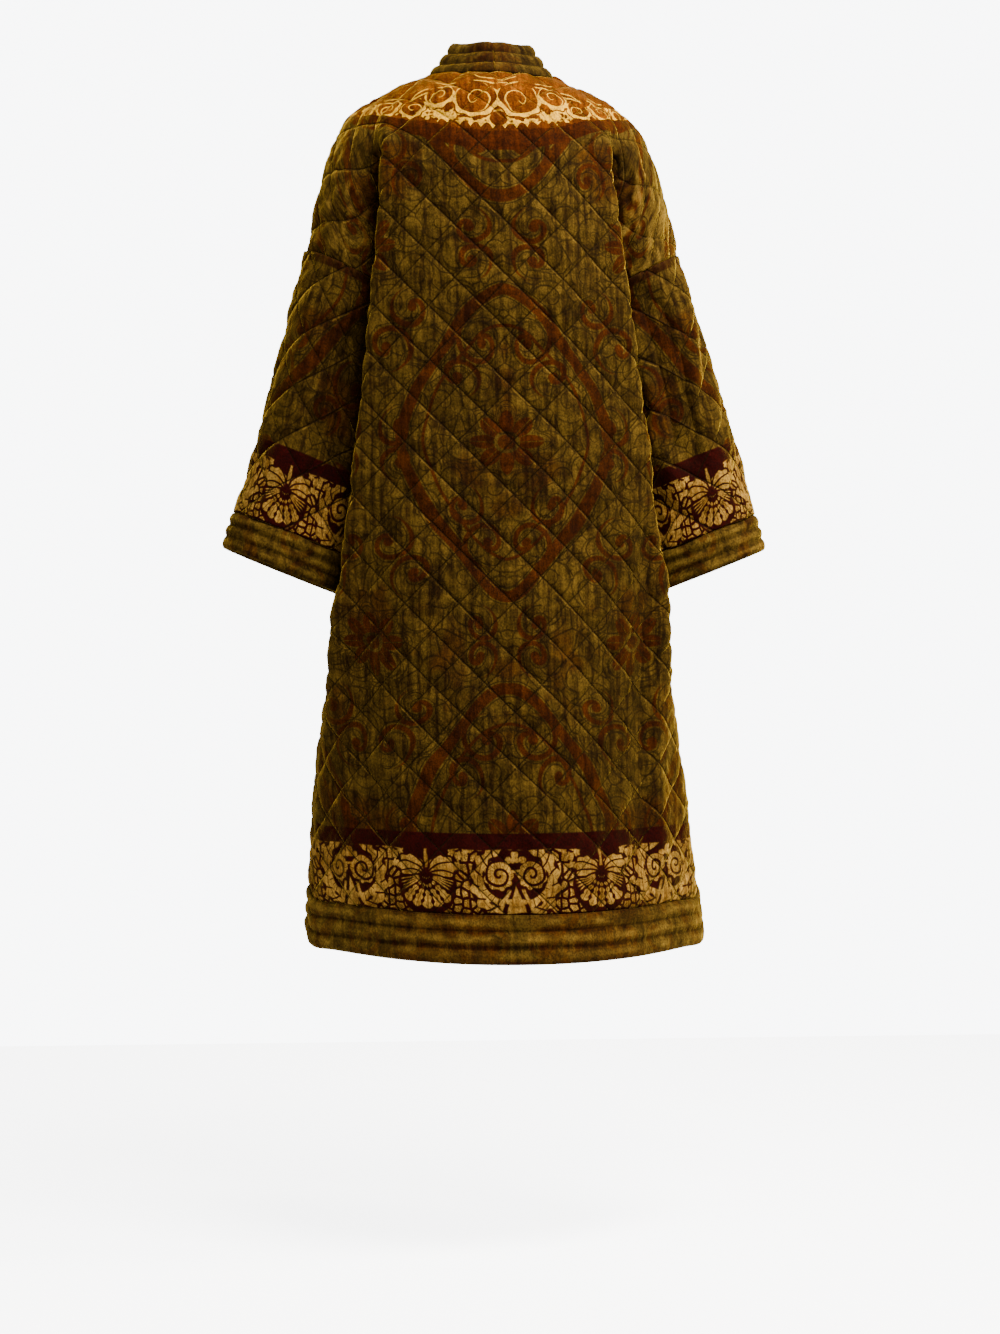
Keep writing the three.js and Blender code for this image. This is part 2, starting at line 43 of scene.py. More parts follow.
# The coat's form. over is the way from the shoulder seam down the back (minus) or the front (plus).
# A section runs from the middle over the ridge, the fold edge beside the sleeve, and through the valley.
sectionColumns = "over midY midZ ridgeX ridgeY ridgeZ valleyX valleyY valleyZ bulge".split()
sectionRows = [
    (-1215, 196, -1180, 261, 36, -1169, 265, 16, -1157, 2.3),
    (-950, 175, -916, 234, 58, -913, 239, 27, -907, 2.3),
    (-680, 152, -647, 208, 88, -648, 186, 26, -668, 2.4),
    (-420, 139, -388, 177, 101, -389, 150, 32, -435, 2.4),
    (-300, 139, -268, 163, 106, -269, 136, 34, -320, 2.3),
    (-213, 138, -181, 154, 106, -182, 137, 44, -208, 2.2),
    (-150, 130, -118, 149, 98, -120, 143, 62, -138, 2.1),
    (-90, 110, -61, 149, 72, -84, 165, 69, -110, 2.0),
    (-40, 80, -22, 162, 36, -59, 186, 37, -83, 1.6),
    (0, 36, 3, 174, 0, -50, 203, -2, -79, 1.2),
    (40, -2, 0, 162, -36, -58, 186, -38, -82, 1.2),
    (90, -52, -40, 150, -72, -88, 166, -70, -114, 1.6),
    (150, -98, -108, 146, -94, -130, 142, -62, -146, 2.0),
    (213, -124, -173, 150, -104, -190, 135, -44, -212, 2.1),
    (300, -138, -262, 156, -108, -274, 131, -36, -322, 2.2),
    (420, -140, -383, 168, -108, -391, 146, -34, -437, 2.3),
    (680, -146, -642, 196, -102, -649, 183, -36, -670, 2.4),
    (950, -160, -910, 228, -76, -913, 238, -34, -907, 2.3),
    (1215, -172, -1172, 252, -58, -1166, 263, -26, -1157, 2.3),
]
sideColumns = ("drop", "x", "y", "z")
sideRows = [
    (213, 142, 0, -300),
    (300, 134, -1, -370),
    (420, 149, -3, -468),
    (680, 185, -5, -686),
    (950, 239, -3, -905),
    (1215, 267, -4, -1151),
]
ringColumns = ("along", "topX", "topZ", "bottomX", "bottomZ", "depth", "shift")
ringRows = [
    (-106, 227, -142, 138, -190, 70, -2),
    (0, 250, -243, 142, -300, 76, -4),
    (100, 279, -339, 167, -392, 72, -8),
    (200, 308, -436, 181, -490, 66, -12),
    (300, 336, -533, 191, -592, 63, -16),
    (410, 367, -639, 203, -704, 62, -20),
]
swayColumns = ("z", "x")
swayRows = [(-1180, -22), (-840, -10), (-500, -10), (-200, -3), (60, 0)]
leanColumns = ("along", "x", "y", "z")
leanRows = [
    (0, 0, -0.56, 0.83),
    (60, -0.42, -0.4, 0.81),
    (110, -0.62, -0.02, 0.78),
    (170, -0.76, 0.08, 0.64),
    (240, -0.93, -0.02, 0.36),
    (330, -0.99, -0.06, 0.06),
]

hemDrop, hemBand, cuffBand, neckBand = 1215.0, 64.0, 50.0, 58.0
armhole, sleeveLength = 213.0, 410.0
backNeck, neckHalf, frontEdge, neckSlope = 26.0, 84.0, 59.5, 250.0
seamGap = 0.15
bodyEnd = hemDrop - hemBand

# The spacing of the outer side's points, finer on a band, and of the inner side's among them
step = 3.4 * 1
bandStep = 0.7
innerEvery = 4
wall = 3.0


def smooth(x):
    x = np.clip(x, 0, 1)
    return x * x * (3 - 2 * x)


# 1 in the middle, falling away on both sides
def bell(x, width):
    return np.exp(-((x / width) ** 2))


# A smooth curve from a to b: it leaves with slope m and arrives with slope n
def curveBetween(f, a, b, m, n):
    start = (2 * f**3 - 3 * f**2 + 1) * a + (f**3 - 2 * f**2 + f) * m
    return start + (3 * f**2 - 2 * f**3) * b + (f**3 - f**2) * n


# A column of a table between its rows, on a smooth curve through them
def column(rows, columns, name, at):
    table = np.array(rows, float)
    keys, values = table[:, 0], table[:, columns.index(name)]
    slopes = np.empty_like(values)
    slopes[1:-1] = (values[2:] - values[:-2]) / (keys[2:] - keys[:-2])
    slopes[0] = (values[1] - values[0]) / (keys[1] - keys[0])
    slopes[-1] = (values[-1] - values[-2]) / (keys[-1] - keys[-2])
    at = np.asarray(at, float)
    i = np.clip(np.searchsorted(keys, at, side="right") - 1, 0, len(keys) - 2)
    span = keys[i + 1] - keys[i]
    f = (at - keys[i]) / span
    g = np.clip(f, 0, 1)
    inside = curveBetween(g, values[i], values[i + 1], span * slopes[i], span * slopes[i + 1])
    return inside + (f - g) * span * np.where(f < 0, slopes[i], slopes[i + 1])


def stack(x, y, z):
    return np.stack(np.broadcast_arrays(x, y, z), -1).astype(float)


# A ring round the arm: turn is 0 on the outer arm and pi at the underarm, past the back where positive
def armPoint(along, turn):
    at = lambda name: column(ringRows, ringColumns, name, along)
    ends = [(at("top" + axis), at("bottom" + axis)) for axis in "XZ"]
    x, z = ((top + bottom) / 2 + (top - bottom) / 2 * np.cos(turn) for top, bottom in ends)
    return stack(x, at("shift") + at("depth") * np.sin(turn), z)


def blendPoints(a, b, share):
    return a + (b - a) * np.asarray(share)[..., None]


# The points that each section passes through, mirrored past the middle and steered past the edge
def sectionPoints(over):
    at = lambda name, where=over: column(sectionRows, sectionColumns, name, where)
    drop = np.abs(over)

    def fill(share):
        return stack(
            at("ridgeX") * share,
            at("midY") + (at("ridgeY") - at("midY")) * share ** at("bulge"),
            at("midZ") + (at("ridgeZ") - at("midZ")) * share**2,
        )

    valley, beyond = (stack(*[at("valley" + c, where) for c in "XYZ"]) for where in (over, -over))
    armDrop = np.minimum(drop, armhole)
    turn = -np.sign(over) * np.pi * armDrop / armhole
    under = smooth((armDrop / armhole - 0.5) / 0.5)
    armEdge = armPoint(0 * over, turn)
    sideEdge = stack(*[column(sideRows, sideColumns, c, drop) for c in "xyz"])
    edge = np.where((drop < armhole)[:, None], armEdge, sideEdge)
    near = blendPoints(valley, edge, 0.6 + 0 * over)
    arm = blendPoints(armPoint(-106 + 0 * over, turn), near, under)
    steer = blendPoints(armPoint(100 + 0 * over, turn), blendPoints(beyond, edge, 0.6 + 0 * over), under)
    mirrored = fill(0.3) * (-1, 1, 1)
    return [mirrored, fill(0.0), fill(0.3), fill(0.6), fill(0.88), fill(1.0), valley, arm, edge, steer]


perSpan = 16


def curveThrough(points):
    curve = []
    for i in range(1, len(points) - 2):
        p0, p1, p2, p3 = points[i - 1 : i + 3]
        gaps = (np.linalg.norm(b - a, axis=-1, keepdims=True) for a, b in ((p0, p1), (p1, p2), (p2, p3)))
        d1, d2, d3 = (np.maximum(gap, 1e-3) ** 0.5 for gap in gaps)
        m1 = d2 * ((p1 - p0) / d1 - (p2 - p0) / (d1 + d2) + (p2 - p1) / d2)
        m2 = d2 * ((p2 - p1) / d2 - (p3 - p1) / (d2 + d3) + (p3 - p2) / d3)
        for k in range(0 if i == 1 else 1, perSpan + 1):
            curve.append(curveBetween(k / perSpan, p1, p2, m1, m2))
    return np.stack(curve, 1)


# How far each point of each row of points is along its row
def runLengths(rows):
    steps = np.linalg.norm(np.diff(rows, axis=1), axis=-1)
    return np.concatenate([np.zeros((len(rows), 1)), np.cumsum(steps, 1)], 1)


# The points at places along a row whose points lie at the given lengths
def pointsAlong(places, length, points):
    return np.stack([np.interp(places, length, points[:, axis]) for axis in range(3)], -1)


tableStep = 2.5
overs = np.arange(-1235, 1235 + tableStep, tableStep)
curves = curveThrough(sectionPoints(overs))
lengths = runLengths(curves)
acrosses = np.arange(0, 480, tableStep)
formTable = np.empty((len(overs), len(acrosses), 3))
for row, (curve, length) in enumerate(zip(curves, lengths)):
    tail = (curve[-1] - curve[-2]) / (length[-1] - length[-2])
    past = np.maximum(acrosses - length[-1], 0)[:, None]
    formTable[row] = pointsAlong(acrosses, length, curve) + tail * past
halfWidths = lengths[:, -1]
ridgeAcross = lengths[:, 5 * perSpan]


def halfWidth(over):
    return np.interp(over, overs, halfWidths)


def swayed(p):
    p = p.copy()
    p[..., 0] += column(swayRows, swayColumns, "x", p[..., 2])
    return p


# A point between the entries of a table of points
def lookUp(table, row, col):
    row = np.clip(row, 0, table.shape[0] - 1.001)
    col = np.clip(col, 0, table.shape[1] - 1.001)
    i, j = row.astype(int), col.astype(int)
    f, g = (row - i)[..., None], (col - j)[..., None]
    return (
        table[i, j] * (1 - f) * (1 - g)
        + table[i + 1, j] * f * (1 - g)
        + table[i, j + 1] * (1 - f) * g
        + table[i + 1, j + 1] * f * g
    )


def bodyPoint(across, over):
    across, over = np.broadcast_arrays(np.asarray(across, float), np.asarray(over, float))
    p = lookUp(formTable, (over - overs[0]) / tableStep, np.abs(across) / tableStep)
    p[..., 0] *= np.where(across < 0, -1, 1)
    return swayed(p)


ringAlongs = np.arange(-10, 430, tableStep)
ringTurns = np.linspace(-1.04 * np.pi, 1.04 * np.pi, 300)
ringPoints = armPoint(ringAlongs[:, None], ringTurns[None, :])
ringLengths = runLengths(ringPoints)
ringShares = np.linspace(-1.02, 1.02, 260)
ringTable = np.empty((len(ringAlongs), len(ringShares), 3))
ringHalves = np.empty(len(ringAlongs))
for row in range(len(ringAlongs)):
    start, end = (np.interp(t, ringTurns, ringLengths[row]) for t in (-np.pi, np.pi))
    middle = np.interp(0, ringTurns, ringLengths[row])
    ringHalves[row] = (end - start) / 2
    wanted = middle + ringShares * ringHalves[row]
    ringTable[row] = pointsAlong(wanted, ringLengths[row], ringPoints[row])


def ringHalf(along):
    return np.interp(along, ringAlongs, ringHalves)


def sleevePoint(side, along, share):
    col = (share - ringShares[0]) / (ringShares[1] - ringShares[0])
    p = lookUp(ringTable, (along - ringAlongs[0]) / tableStep, col)
    p[..., 0] *= side
    return swayed(p)


print("form ready")


# Smooth noise from -1 to 1
def noise(x, y, seed=0):
    x, y = np.broadcast_arrays(x, y)
    i, j = np.floor(x), np.floor(y)
    f, g = smooth(x - i), smooth(y - j)

    def corner(a, b):
        h = np.sin((i + a) * 127.1 + (j + b) * 311.7 + seed * 74.7) * 43758.5453
        return (h - np.floor(h)) * 2 - 1

    low = corner(0, 0) * (1 - f) + corner(1, 0) * f
    high = corner(0, 1) * (1 - f) + corner(1, 1) * f
    return low * (1 - g) + high * g


quiltSettings = {
    "spacing": 50.0,
    "bodyCrossing": (-43.9, 7.4),
    "sleeveCrossing": (0.0, 35.36),
    "loft": 2.8,
    "softness": 4.6,
    "pucker": 1.1,
    "puckerLength": 6.5,
    "crush": 0.9,
    "ripple": 2.0,
}
# Besides the relief, these give the strengths of the painted shade past the fold edge, of the painted
# highlight along it, and of the painted highlight on the shoulder puckers
ridgeSettings = {
    "lift": 5.0,
    "liftWidth": 9.0,
    "trough": 12.0,
    "troughWidth": 13.0,
    "troughAway": 24.0,
    "shade": 0.95,
    "worn": 0.8,
    "shoulderPucker": 2.2,
    "shoulderHighlight": (0.3, 0.18),
}


# How far the quilted cloth stands off its form
def quiltRelief(u, v, seed, start):
    q = quiltSettings
    x, y = u - start[0], v - start[1]
    lines = ((x + y) / math.sqrt(2), (x - y) / math.sqrt(2))
    relief = np.full(u.shape, q["loft"])
    pucker = np.zeros(u.shape)
    for k, (a, b) in enumerate((lines, lines[::-1])):
        wander = 1.2 * noise(b / 60, np.round(a / q["spacing"]) * 3.1, seed + k)
        n = np.round(a / q["spacing"])
        away = np.abs(a - n * q["spacing"] + wander)
        relief *= 1 - np.exp(-away / q["softness"])
        bend = 0.12 * away * noise(b / 30, n, seed + 5)
        wave = noise(b / q["puckerLength"] + bend, n * 1.7 + 0.5, seed + 11 + k)
        pucker += wave * np.exp(-away / 9.0) * (1 - np.exp(-away / 2.0))
    crush = 1 - 2 * np.abs(noise(u / 19, v / 13, seed + 21))
    crush += 0.6 * (1 - 2 * np.abs(noise(u / 9, v / 14 + 7, seed + 22)))
    inside = np.clip(relief / q["loft"], 0, 1)
    ripple = noise(u / 42, v / 60, seed + 31)
    return relief + q["pucker"] * pucker + q["crush"] * crush * inside + q["ripple"] * ripple


# The last two settings are the strengths of the painted shade in the stitched grooves and of the painted
# highlight on top of each channel
channelSettings = {
    "channels": 3,
    "loft": 4.2,
    "pucker": 0.7,
    "crush": 0.5,
    "stitchWidth": 1.2,
    "shade": 0.6,
    "worn": 0.3,
}


# The same for a band in straight channels, where across runs over the band's width, and its crease: above 0
# for painted shade in the stitched grooves, below 0 for a painted highlight on top of each channel
def channelsAt(along, across, width, seed):
    q = channelSettings
    place = across / width * q["channels"]
    pillow = np.abs(np.sin(np.pi * np.clip(place, 0, q["channels"]))) ** 0.5
    wave = noise(along / 9, np.floor(place) * 5.3 + place * 0.6, seed)
    wave = wave + 0.5 * noise(along / 4.5, place * 2, seed + 3)
    crush = 1 - 2 * np.abs(noise(along / 24, across / 15, seed + 5))
    height = q["loft"] * pillow + (q["pucker"] * wave + q["crush"] * crush) * (0.35 + 0.65 * pillow)
    pitch = width / q["channels"]
    wander = 1.2 * noise(along / 60, across / 90, seed + 2)
    away = np.abs(((across + wander) / pitch + 0.5) % 1 - 0.5) * pitch
    groove = bell(away, q["stitchWidth"])
    patches = np.clip(0.5 + 0.9 * noise(along / 22, across / 9, seed + 5), 0, 1)
    top = smooth((away / pitch - 0.22) / 0.2) * patches
    return height, q["shade"] * groove - q["worn"] * top


# Soft folds, each with its middle across, width, height, start and end along the cloth, and slant. A minus
# height is a trough
backFolds = [
    (-232, 20, 7, 640, 1150, 0.02),
    (-196, 17, -6, 620, 1120, 0.02),
    (236, 24, 6, 700, 1180, -0.02),
    (-60, 40, 2.5, 420, 1100, 0.03),
    (52, 36, -2.5, 300, 1100, -0.02),
    (120, 30, 2.5, 500, 1150, 0.05),
    (-128, 34, -2.5, 380, 1100, -0.03),
    (176, 10, -7, 60, 190, 0.25),
    (190, 9, 7, 70, 180, 0.45),
    (208, 9, -7, 75, 190, 0.7),
    (-176, 10, -7, 60, 190, -0.25),
    (-190, 9, 7, 70, 180, -0.45),
    (-208, 9, -7, 75, 180, -0.7),
    (-238, 10, -6, 130, 300, -0.3),
    (-262, 9, 6, 150, 320, -0.2),
    (244, 10, -6, 140, 310, 0.25),
]
frontFolds = [
    (150, 26, 4, 180, 1100, 0.05),
    (210, 22, -5, 420, 1150, 0.04),
    (-158, 26, 4, 200, 1100, -0.06),
    (-215, 22, -5, 440, 1150, -0.04),
]
leftSleeveFolds = [
    (92, 10, -6, 60, 260, 0.3),
    (120, 9, 5, 90, 300, 0.3),
    (24, 13, -5, 120, 330, -0.2),
    (140, 20, -8, 30, 330, -0.05),
    (182, 17, 6, 50, 400, -0.03),
    (60, 26, 3, 0, 380, 0.05),
]
rightSleeveFolds = [
    (76, 10, -7, 90, 280, 0.35),
    (128, 9, 6, 120, 330, 0.25),
    (20, 12, -6, 40, 240, 0.3),
    (176, 9, -6, 60, 260, -0.25),
    (112, 16, -13, 5, 300, -0.02),
    (150, 19, 12, 15, 330, -0.03),
    (196, 16, -9, 30, 330, 0.0),
    (52, 24, 4, 0, 380, 0.06),
]

# The depth at which a fold is wholly in shade
deepFold = 11


def foldHeight(folds, across, along):
    height = np.zeros(np.broadcast(across, along).shape)
    for middle, width, tall, start, end, slant in folds:
        centre = middle + slant * (along - start) + 4 * noise(along / 90, middle * 0.37, 3)
        ends = smooth((along - start) / 70) * smooth((end - along) / 90)
        height += tall * bell(across - centre, width) * ends
    return height


def addObject(name, data):
    made = bpy.data.objects.new(name, data)
    bpy.context.scene.collection.objects.link(made)
    return made


# A closed sheet: a fine outer side with its relief, and a plain inner side on a coarser grid. crease is
# kept for the velvet's painted light: above 0 for painted shade in a fold, below 0 for a painted highlight,
# as along an edge
def clothMesh(name, u, v, base, height, centre, crease):
    inner = innerEvery
    flat = np.stack(np.broadcast_arrays(u, v), -1)
    along, across = np.gradient(base, axis=0), np.gradient(base, axis=1)
    out = np.cross(across, along)
    out /= np.maximum(np.linalg.norm(out, axis=-1, keepdims=True), 1e-9)
    sign = 1 if np.mean(np.sum(out * (base - centre), -1)) > 0 else -1
    out *= sign
    top = base + out * height[..., None]
    low = (base - out * wall)[::inner, ::inner]
    rows, cols = base.shape[:2]
    lowRows, lowCols = low.shape[:2]
    outerIndex = np.arange(rows * cols).reshape(rows, cols)
    innerIndex = rows * cols + np.arange(lowRows * lowCols).reshape(lowRows, lowCols)

    def quads(index, flip):
        corners = [index[:-1, :-1], index[:-1, 1:], index[1:, 1:], index[1:, :-1]]
        if flip:
            corners.reverse()
        return np.stack(corners, -1).reshape(-1, 4)

    faces = [quads(outerIndex, sign < 0), quads(innerIndex, sign > 0)]
    rims = []
    for outerLine, innerLine, flip in (
        (outerIndex[0], innerIndex[0], False),
        (outerIndex[-1], innerIndex[-1], True),
        (outerIndex[:, 0], innerIndex[:, 0], True),
        (outerIndex[:, -1], innerIndex[:, -1], False),
    ):
        for k in range(len(innerLine) - 1):
            rim = [*outerLine[k * inner : (k + 1) * inner + 1][::-1], innerLine[k], innerLine[k + 1]]
            rims.append(rim[::-1] if flip != (sign < 0) else rim)
    vertices = np.concatenate([top.reshape(-1, 3), low.reshape(-1, 3)]) * 0.001
    uv = np.concatenate([flat.reshape(-1, 2), flat[::inner, ::inner].reshape(-1, 2)]) * 0.001
    mesh = bpy.data.meshes.new(name)
    mesh.from_pydata(vertices, [], [face for part in (*faces, rims) for face in part])
    loops = np.empty(len(mesh.loops), np.int32)
    mesh.loops.foreach_get("vertex_index", loops)
    mesh.uv_layers.new(name="flat").data.foreach_set("uv", uv[loops].astype(np.float32).ravel())
    creases = np.zeros(len(vertices), np.float32)
    creases[: rows * cols] = np.clip(crease + 0 * base[..., 0], -1, 1).ravel()
    mesh.attributes.new("crease", "FLOAT", "POINT").data.foreach_set("value", creases)
    mesh.polygons.foreach_set("use_smooth", [True] * len(mesh.polygons))
    mesh.validate()
    return addObject(name, mesh)


def counts(length, size=None):
    return max(innerEvery, int(round(length / (size or step) / innerEvery)) * innerEvery)


def backNeckDrop(u):
    inside = np.clip(1 - (u / neckHalf) ** 2, 0, 1)
    return backNeck * np.sqrt(inside)


def frontEdgeAt(drop):
    share = smooth(drop / neckSlope)
    return neckHalf + (frontEdge - neckHalf) * share


# How far a point of the back is past the fold edge beside the sleeve
def pastRidge(u, v):
    return np.abs(u) - np.interp(-v, overs, ridgeAcross)


# The back's fold edge beside each sleeve: it stands proud, and the cloth falls away sharply past it
def ridgeHeight(u, v):
    q = ridgeSettings
    away = pastRidge(u, v)
    share = smooth((v - 50) / 110) * smooth((1120 - v) / 420)
    wander = 2.5 * noise(v / 60, np.sign(u) * 3.0, 9)
    lift = q["lift"] * bell(away + 3 + wander, q["liftWidth"])
    trough = q["trough"] * bell(away - q["troughAway"], q["troughWidth"])
    return (lift - trough) * share


# The painted shade in the fold past that edge, and a painted highlight on the pile along the edge itself
def ridgeCrease(u, v):
    away = pastRidge(u, v) + 2.5 * noise(v / 60, np.sign(u) * 3.0, 9)
    share = smooth((v - 40) / 90) * smooth((1150 - v) / 250)
    shade = smooth((away - 1) / 7) * bell(np.maximum(away - 9, 0), 20)
    bright = bell(away + 8, 3.4) * (0.8 + 0.4 * noise(v / 25, np.sign(u) * 5.0, 4))
    bright = bright * smooth((v - 120) / 60) * smooth((1150 - v) / 300)
    return ridgeSettings["shade"] * shade * share - ridgeSettings["worn"] * bright


# Small puckers all over the dropped shoulders, and the strength of a painted highlight on them, more on the
# right
def shoulderPuckers(u, v):
    beyond = pastRidge(u, v)
    share = smooth((beyond - 12) / 40) * smooth((v - 15) / 40) * smooth((340 - v) / 90)
    shine = np.where(u < 0, *ridgeSettings["shoulderHighlight"])
    return share * noise(u / 14 + v / 30, v / 9, 12), share * shine


# The shade that the back's fold edge throws on the sleeve beside it
def besideBack(points, side):
    behind = overs < -60
    edge = bodyPoint(side * ridgeAcross[behind], overs[behind])
    order = np.argsort(edge[:, 2])
    away = side * (points[..., 0] - np.interp(points[..., 2], edge[order, 2], edge[order, 0]))
    wander = 9 * noise(points[..., 2] / 40, side * 2.0, 6)
    shade = bell(np.maximum(away + wander - 4, 0), 30) * (points[..., 1] > -20)
    return ridgeSettings["shade"] * shade


# Where a share of the width lies across the flat back (way -1) or front (way 1)
def acrossAt(share, v, way, side):
    if way < 0:
        return share * (halfWidth(-v) - seamGap)
    return side * (frontEdgeAt(v) + (halfWidth(v) - frontEdgeAt(v) - seamGap) * share)


def sharesOver(way, back, front):
    return np.linspace(-1, 1, counts(back) + 1) if way < 0 else np.linspace(0, 1, counts(front) + 1)


def bodyPiece(name, way, side, seed, folds):
    s = sharesOver(way, 810, 335)
    t = np.linspace(0, 1, counts(bodyEnd) + 1)
    t = t + 0.06 * t * (1 - t) * (1 - 2 * t)
    s, t = s[None, :], t[:, None]
    v = bodyEnd * t + 0 * s
    for _ in range(4):
        u = acrossAt(s, v, way, side)
        top = backNeckDrop(u) if way < 0 else 0 * u
        v = top + seamGap + (bodyEnd + 0.9 - top) * t
    base = bodyPoint(u, way * v)
    low = smooth((bodyEnd - v) / 9)
    height = quiltRelief(u, v, seed, quiltSettings["bodyCrossing"]) * (0.15 + 0.85 * low)
    fold = foldHeight(folds, u, v)
    height = height - 1.2 * (v > bodyEnd) + fold
    crease = np.maximum(-fold, 0) / deepFold
    if way < 0:
        pucker, shine = shoulderPuckers(u, v)
        height = height + ridgeHeight(u, v) + ridgeSettings["shoulderPucker"] * pucker
        # The fold edge's painted shade and highlight, and a painted highlight on the tops of the shoulder
        # puckers
        crease = crease + ridgeCrease(u, v) - shine * smooth(pucker * 1.5 - 0.1)
    edge = smooth((halfWidth(way * v) - np.abs(u)) / 14)
    height = height * (0.25 + 0.75 * edge)
    return clothMesh(name, u, v, base, height, stack(-8, 0, base[..., 2]), crease)


def hemPiece(name, way, side, seed, folds):
    s = sharesOver(way, 1100, 440)
    rows = counts(hemBand, step * bandStep) + 1
    v = np.linspace(bodyEnd + seamGap, hemDrop, rows)[:, None]
    u = acrossAt(s[None, :], v, way, side)
    v = v + 0 * u
    base = bodyPoint(u, way * v)
    height, crease = channelsAt(u, v - bodyEnd, hemBand, seed)
    height = height + foldHeight(folds, u, v)
    # A slight painted highlight over the whole hem band
    return clothMesh(name, u, v, base, height, stack(-20, 0, base[..., 2]), crease - 0.05)


def sleevePiece(name, side, start, end, folds, seed, banded):
    share = np.linspace(-1, 1, counts(490) + 1)[None, :] * 0.9994
    size = step * (bandStep if banded else 1)
    along = np.linspace(start, end, counts(end - start, size) + 1)[:, None]
    round_ = share * ringHalf(along)
    along = along + 0 * share
    base = sleevePoint(side, along, share + 0 * along)
    fold = foldHeight(folds, round_, along)
    if banded:
        height, crease = channelsAt(round_, along - start, cuffBand, seed)
    else:
        height = quiltRelief(round_, along, seed, quiltSettings["sleeveCrossing"])
        crease = np.maximum(-fold, 0) / deepFold
    crease = crease + besideBack(base, side) * (0.7 if banded else 1)
    height = height + fold
    under = smooth((1 - np.abs(share)) * ringHalf(along) / 14)
    height = height * (0.3 + 0.7 * under)
    return clothMesh(name, round_, along, base, height, base.mean(1, keepdims=True), crease)


# The seam that the neckband is sewn to, from the middle of the back down to the hem
def neckbandPiece(name, side, seed):
    turn = np.linspace(np.pi / 2, 0, 40)
    down = np.linspace(0, hemDrop, 400)[1:]
    across = np.concatenate([neckHalf * np.cos(turn), frontEdgeAt(down)])
    over = np.concatenate([-backNeck * np.sin(turn), down])
    seam = bodyPoint(side * across, over)
    inward = bodyPoint(side * np.maximum(across - 5, 0), over) - bodyPoint(side * (across + 5), over)
    length = runLengths(seam[None])[0]
    along = np.linspace(0.02, length[-1], counts(length[-1]) + 1)
    rows = counts(neckBand, step * bandStep) + 1
    out = np.linspace(2 * seamGap, neckBand, rows)
    last = leanRows[-1][0]
    lean = stack(*[column(leanRows, leanColumns, c, np.clip(along, 0, last)) for c in "xyz"])
    lean[:, 0] *= side
    unit = lambda p: p / np.linalg.norm(p, axis=-1, keepdims=True)
    settled = smooth((along - last + 90) / 90)[:, None]
    way = unit(unit(lean) * (1 - settled) + unit(pointsAlong(along, length, inward)) * settled)
    base = pointsAlong(along, length, seam)[:, None, :] + way[:, None, :] * out[None, :, None]
    alongGrid, outGrid = np.meshgrid(along, out, indexing="ij")
    height, crease = channelsAt(alongGrid, outGrid, neckBand, seed)
    centre = stack(0 * outGrid, np.where(alongGrid < 110, 0, 40), base[..., 2])
    # A painted shade over the whole neckband, on top of its channels' painted shade and highlight
    return clothMesh(name, alongGrid * side, outGrid, base, height, centre, crease + 0.4)


pieces = {}
pieces["back"] = bodyPiece("coat_back", -1, 1, 1, backFolds)
pieces["hem_back"] = hemPiece("coat_hem_back", -1, 1, 7, backFolds)
for label, side, folds in (("left", 1, leftSleeveFolds), ("right", -1, rightSleeveFolds)):
    seed = 20 if side > 0 else 40
    cuffStart = sleeveLength - cuffBand
    pieces[f"front_{label}"] = bodyPiece(f"coat_front_{label}", 1, side, seed + 1, frontFolds)
    pieces[f"hem_front_{label}"] = hemPiece(f"coat_hem_front_{label}", 1, side, seed + 2, frontFolds)
    for node, start, end, more, banded in (
        ("sleeve", seamGap, cuffStart - seamGap, 3, False),
        ("cuff", cuffStart + seamGap, sleeveLength, 4, True),
    ):
        node = f"{node}_{label}"
        pieces[node] = sleevePiece(f"coat_{node}", side, start, end, folds, seed + more, banded)
    pieces[f"neckband_{label}"] = neckbandPiece(f"coat_neckband_{label}", side, seed + 5)
print("cloth ready:", sum(len(p.data.polygons) for p in pieces.values()), "faces")


# A value in a node tree, written as ordinary arithmetic
class Value:
    def __init__(self, tree, socket):
        self.tree, self.socket = tree, socket

    def calc(self, operation, *others):
        node = self.tree.nodes.new("ShaderNodeMath")
        node.operation = operation
        feed(self.tree, node.inputs, (self, *others))
        return Value(self.tree, node.outputs[0])

    def __rsub__(self, other):
        return self.calc("MULTIPLY_ADD", -1.0, other)

    def above(self, edge, soft):
        node = self.tree.nodes.new("ShaderNodeMapRange")
        node.interpolation_type = "SMOOTHSTEP"
        feed(self.tree, node.inputs, (self, edge - soft, edge + soft))
        return Value(self.tree, node.outputs[0])

    def below(self, edge, soft):
        return 1.0 - self.above(edge, soft)

    def within(self, reach, soft):
        return self.size().below(reach, soft)


valueWords = {
    **{"__add__": "ADD", "__sub__": "SUBTRACT", "__mul__": "MULTIPLY", "__truediv__": "DIVIDE"},
    **{"low": "MINIMUM", "high": "MAXIMUM", "size": "ABSOLUTE", "part": "FRACT", "sign": "SIGN"},
    **{"sine": "SINE", "cosine": "COSINE", "angle": "ARCTAN2", "root": "SQRT", "power": "POWER"},
}
for word, operation in valueWords.items():
    setattr(Value, word, lambda self, *others, operation=operation: self.calc(operation, *others))


# Links values to sockets, or sets plain numbers and colours on them
def feed(tree, sockets, values):
    for socket, value in zip(sockets, values):
        if isinstance(value, Value):
            tree.links.new(value.socket, socket)
        else:
            socket.default_value = (*value, 1.0) if isinstance(value, tuple) else value


def setInputs(tree, node, settings):
    feed(tree, [node.inputs[label] for label in settings], settings.values())


def hypot(x, y):
    return (x * x + y * y).root()


# The numbers in a vector or a colour
def partsOf(tree, kind, socket):
    node = tree.nodes.new("ShaderNodeSeparate" + kind)
    tree.links.new(socket, node.inputs[0])
    return [Value(tree, output) for output in node.outputs]


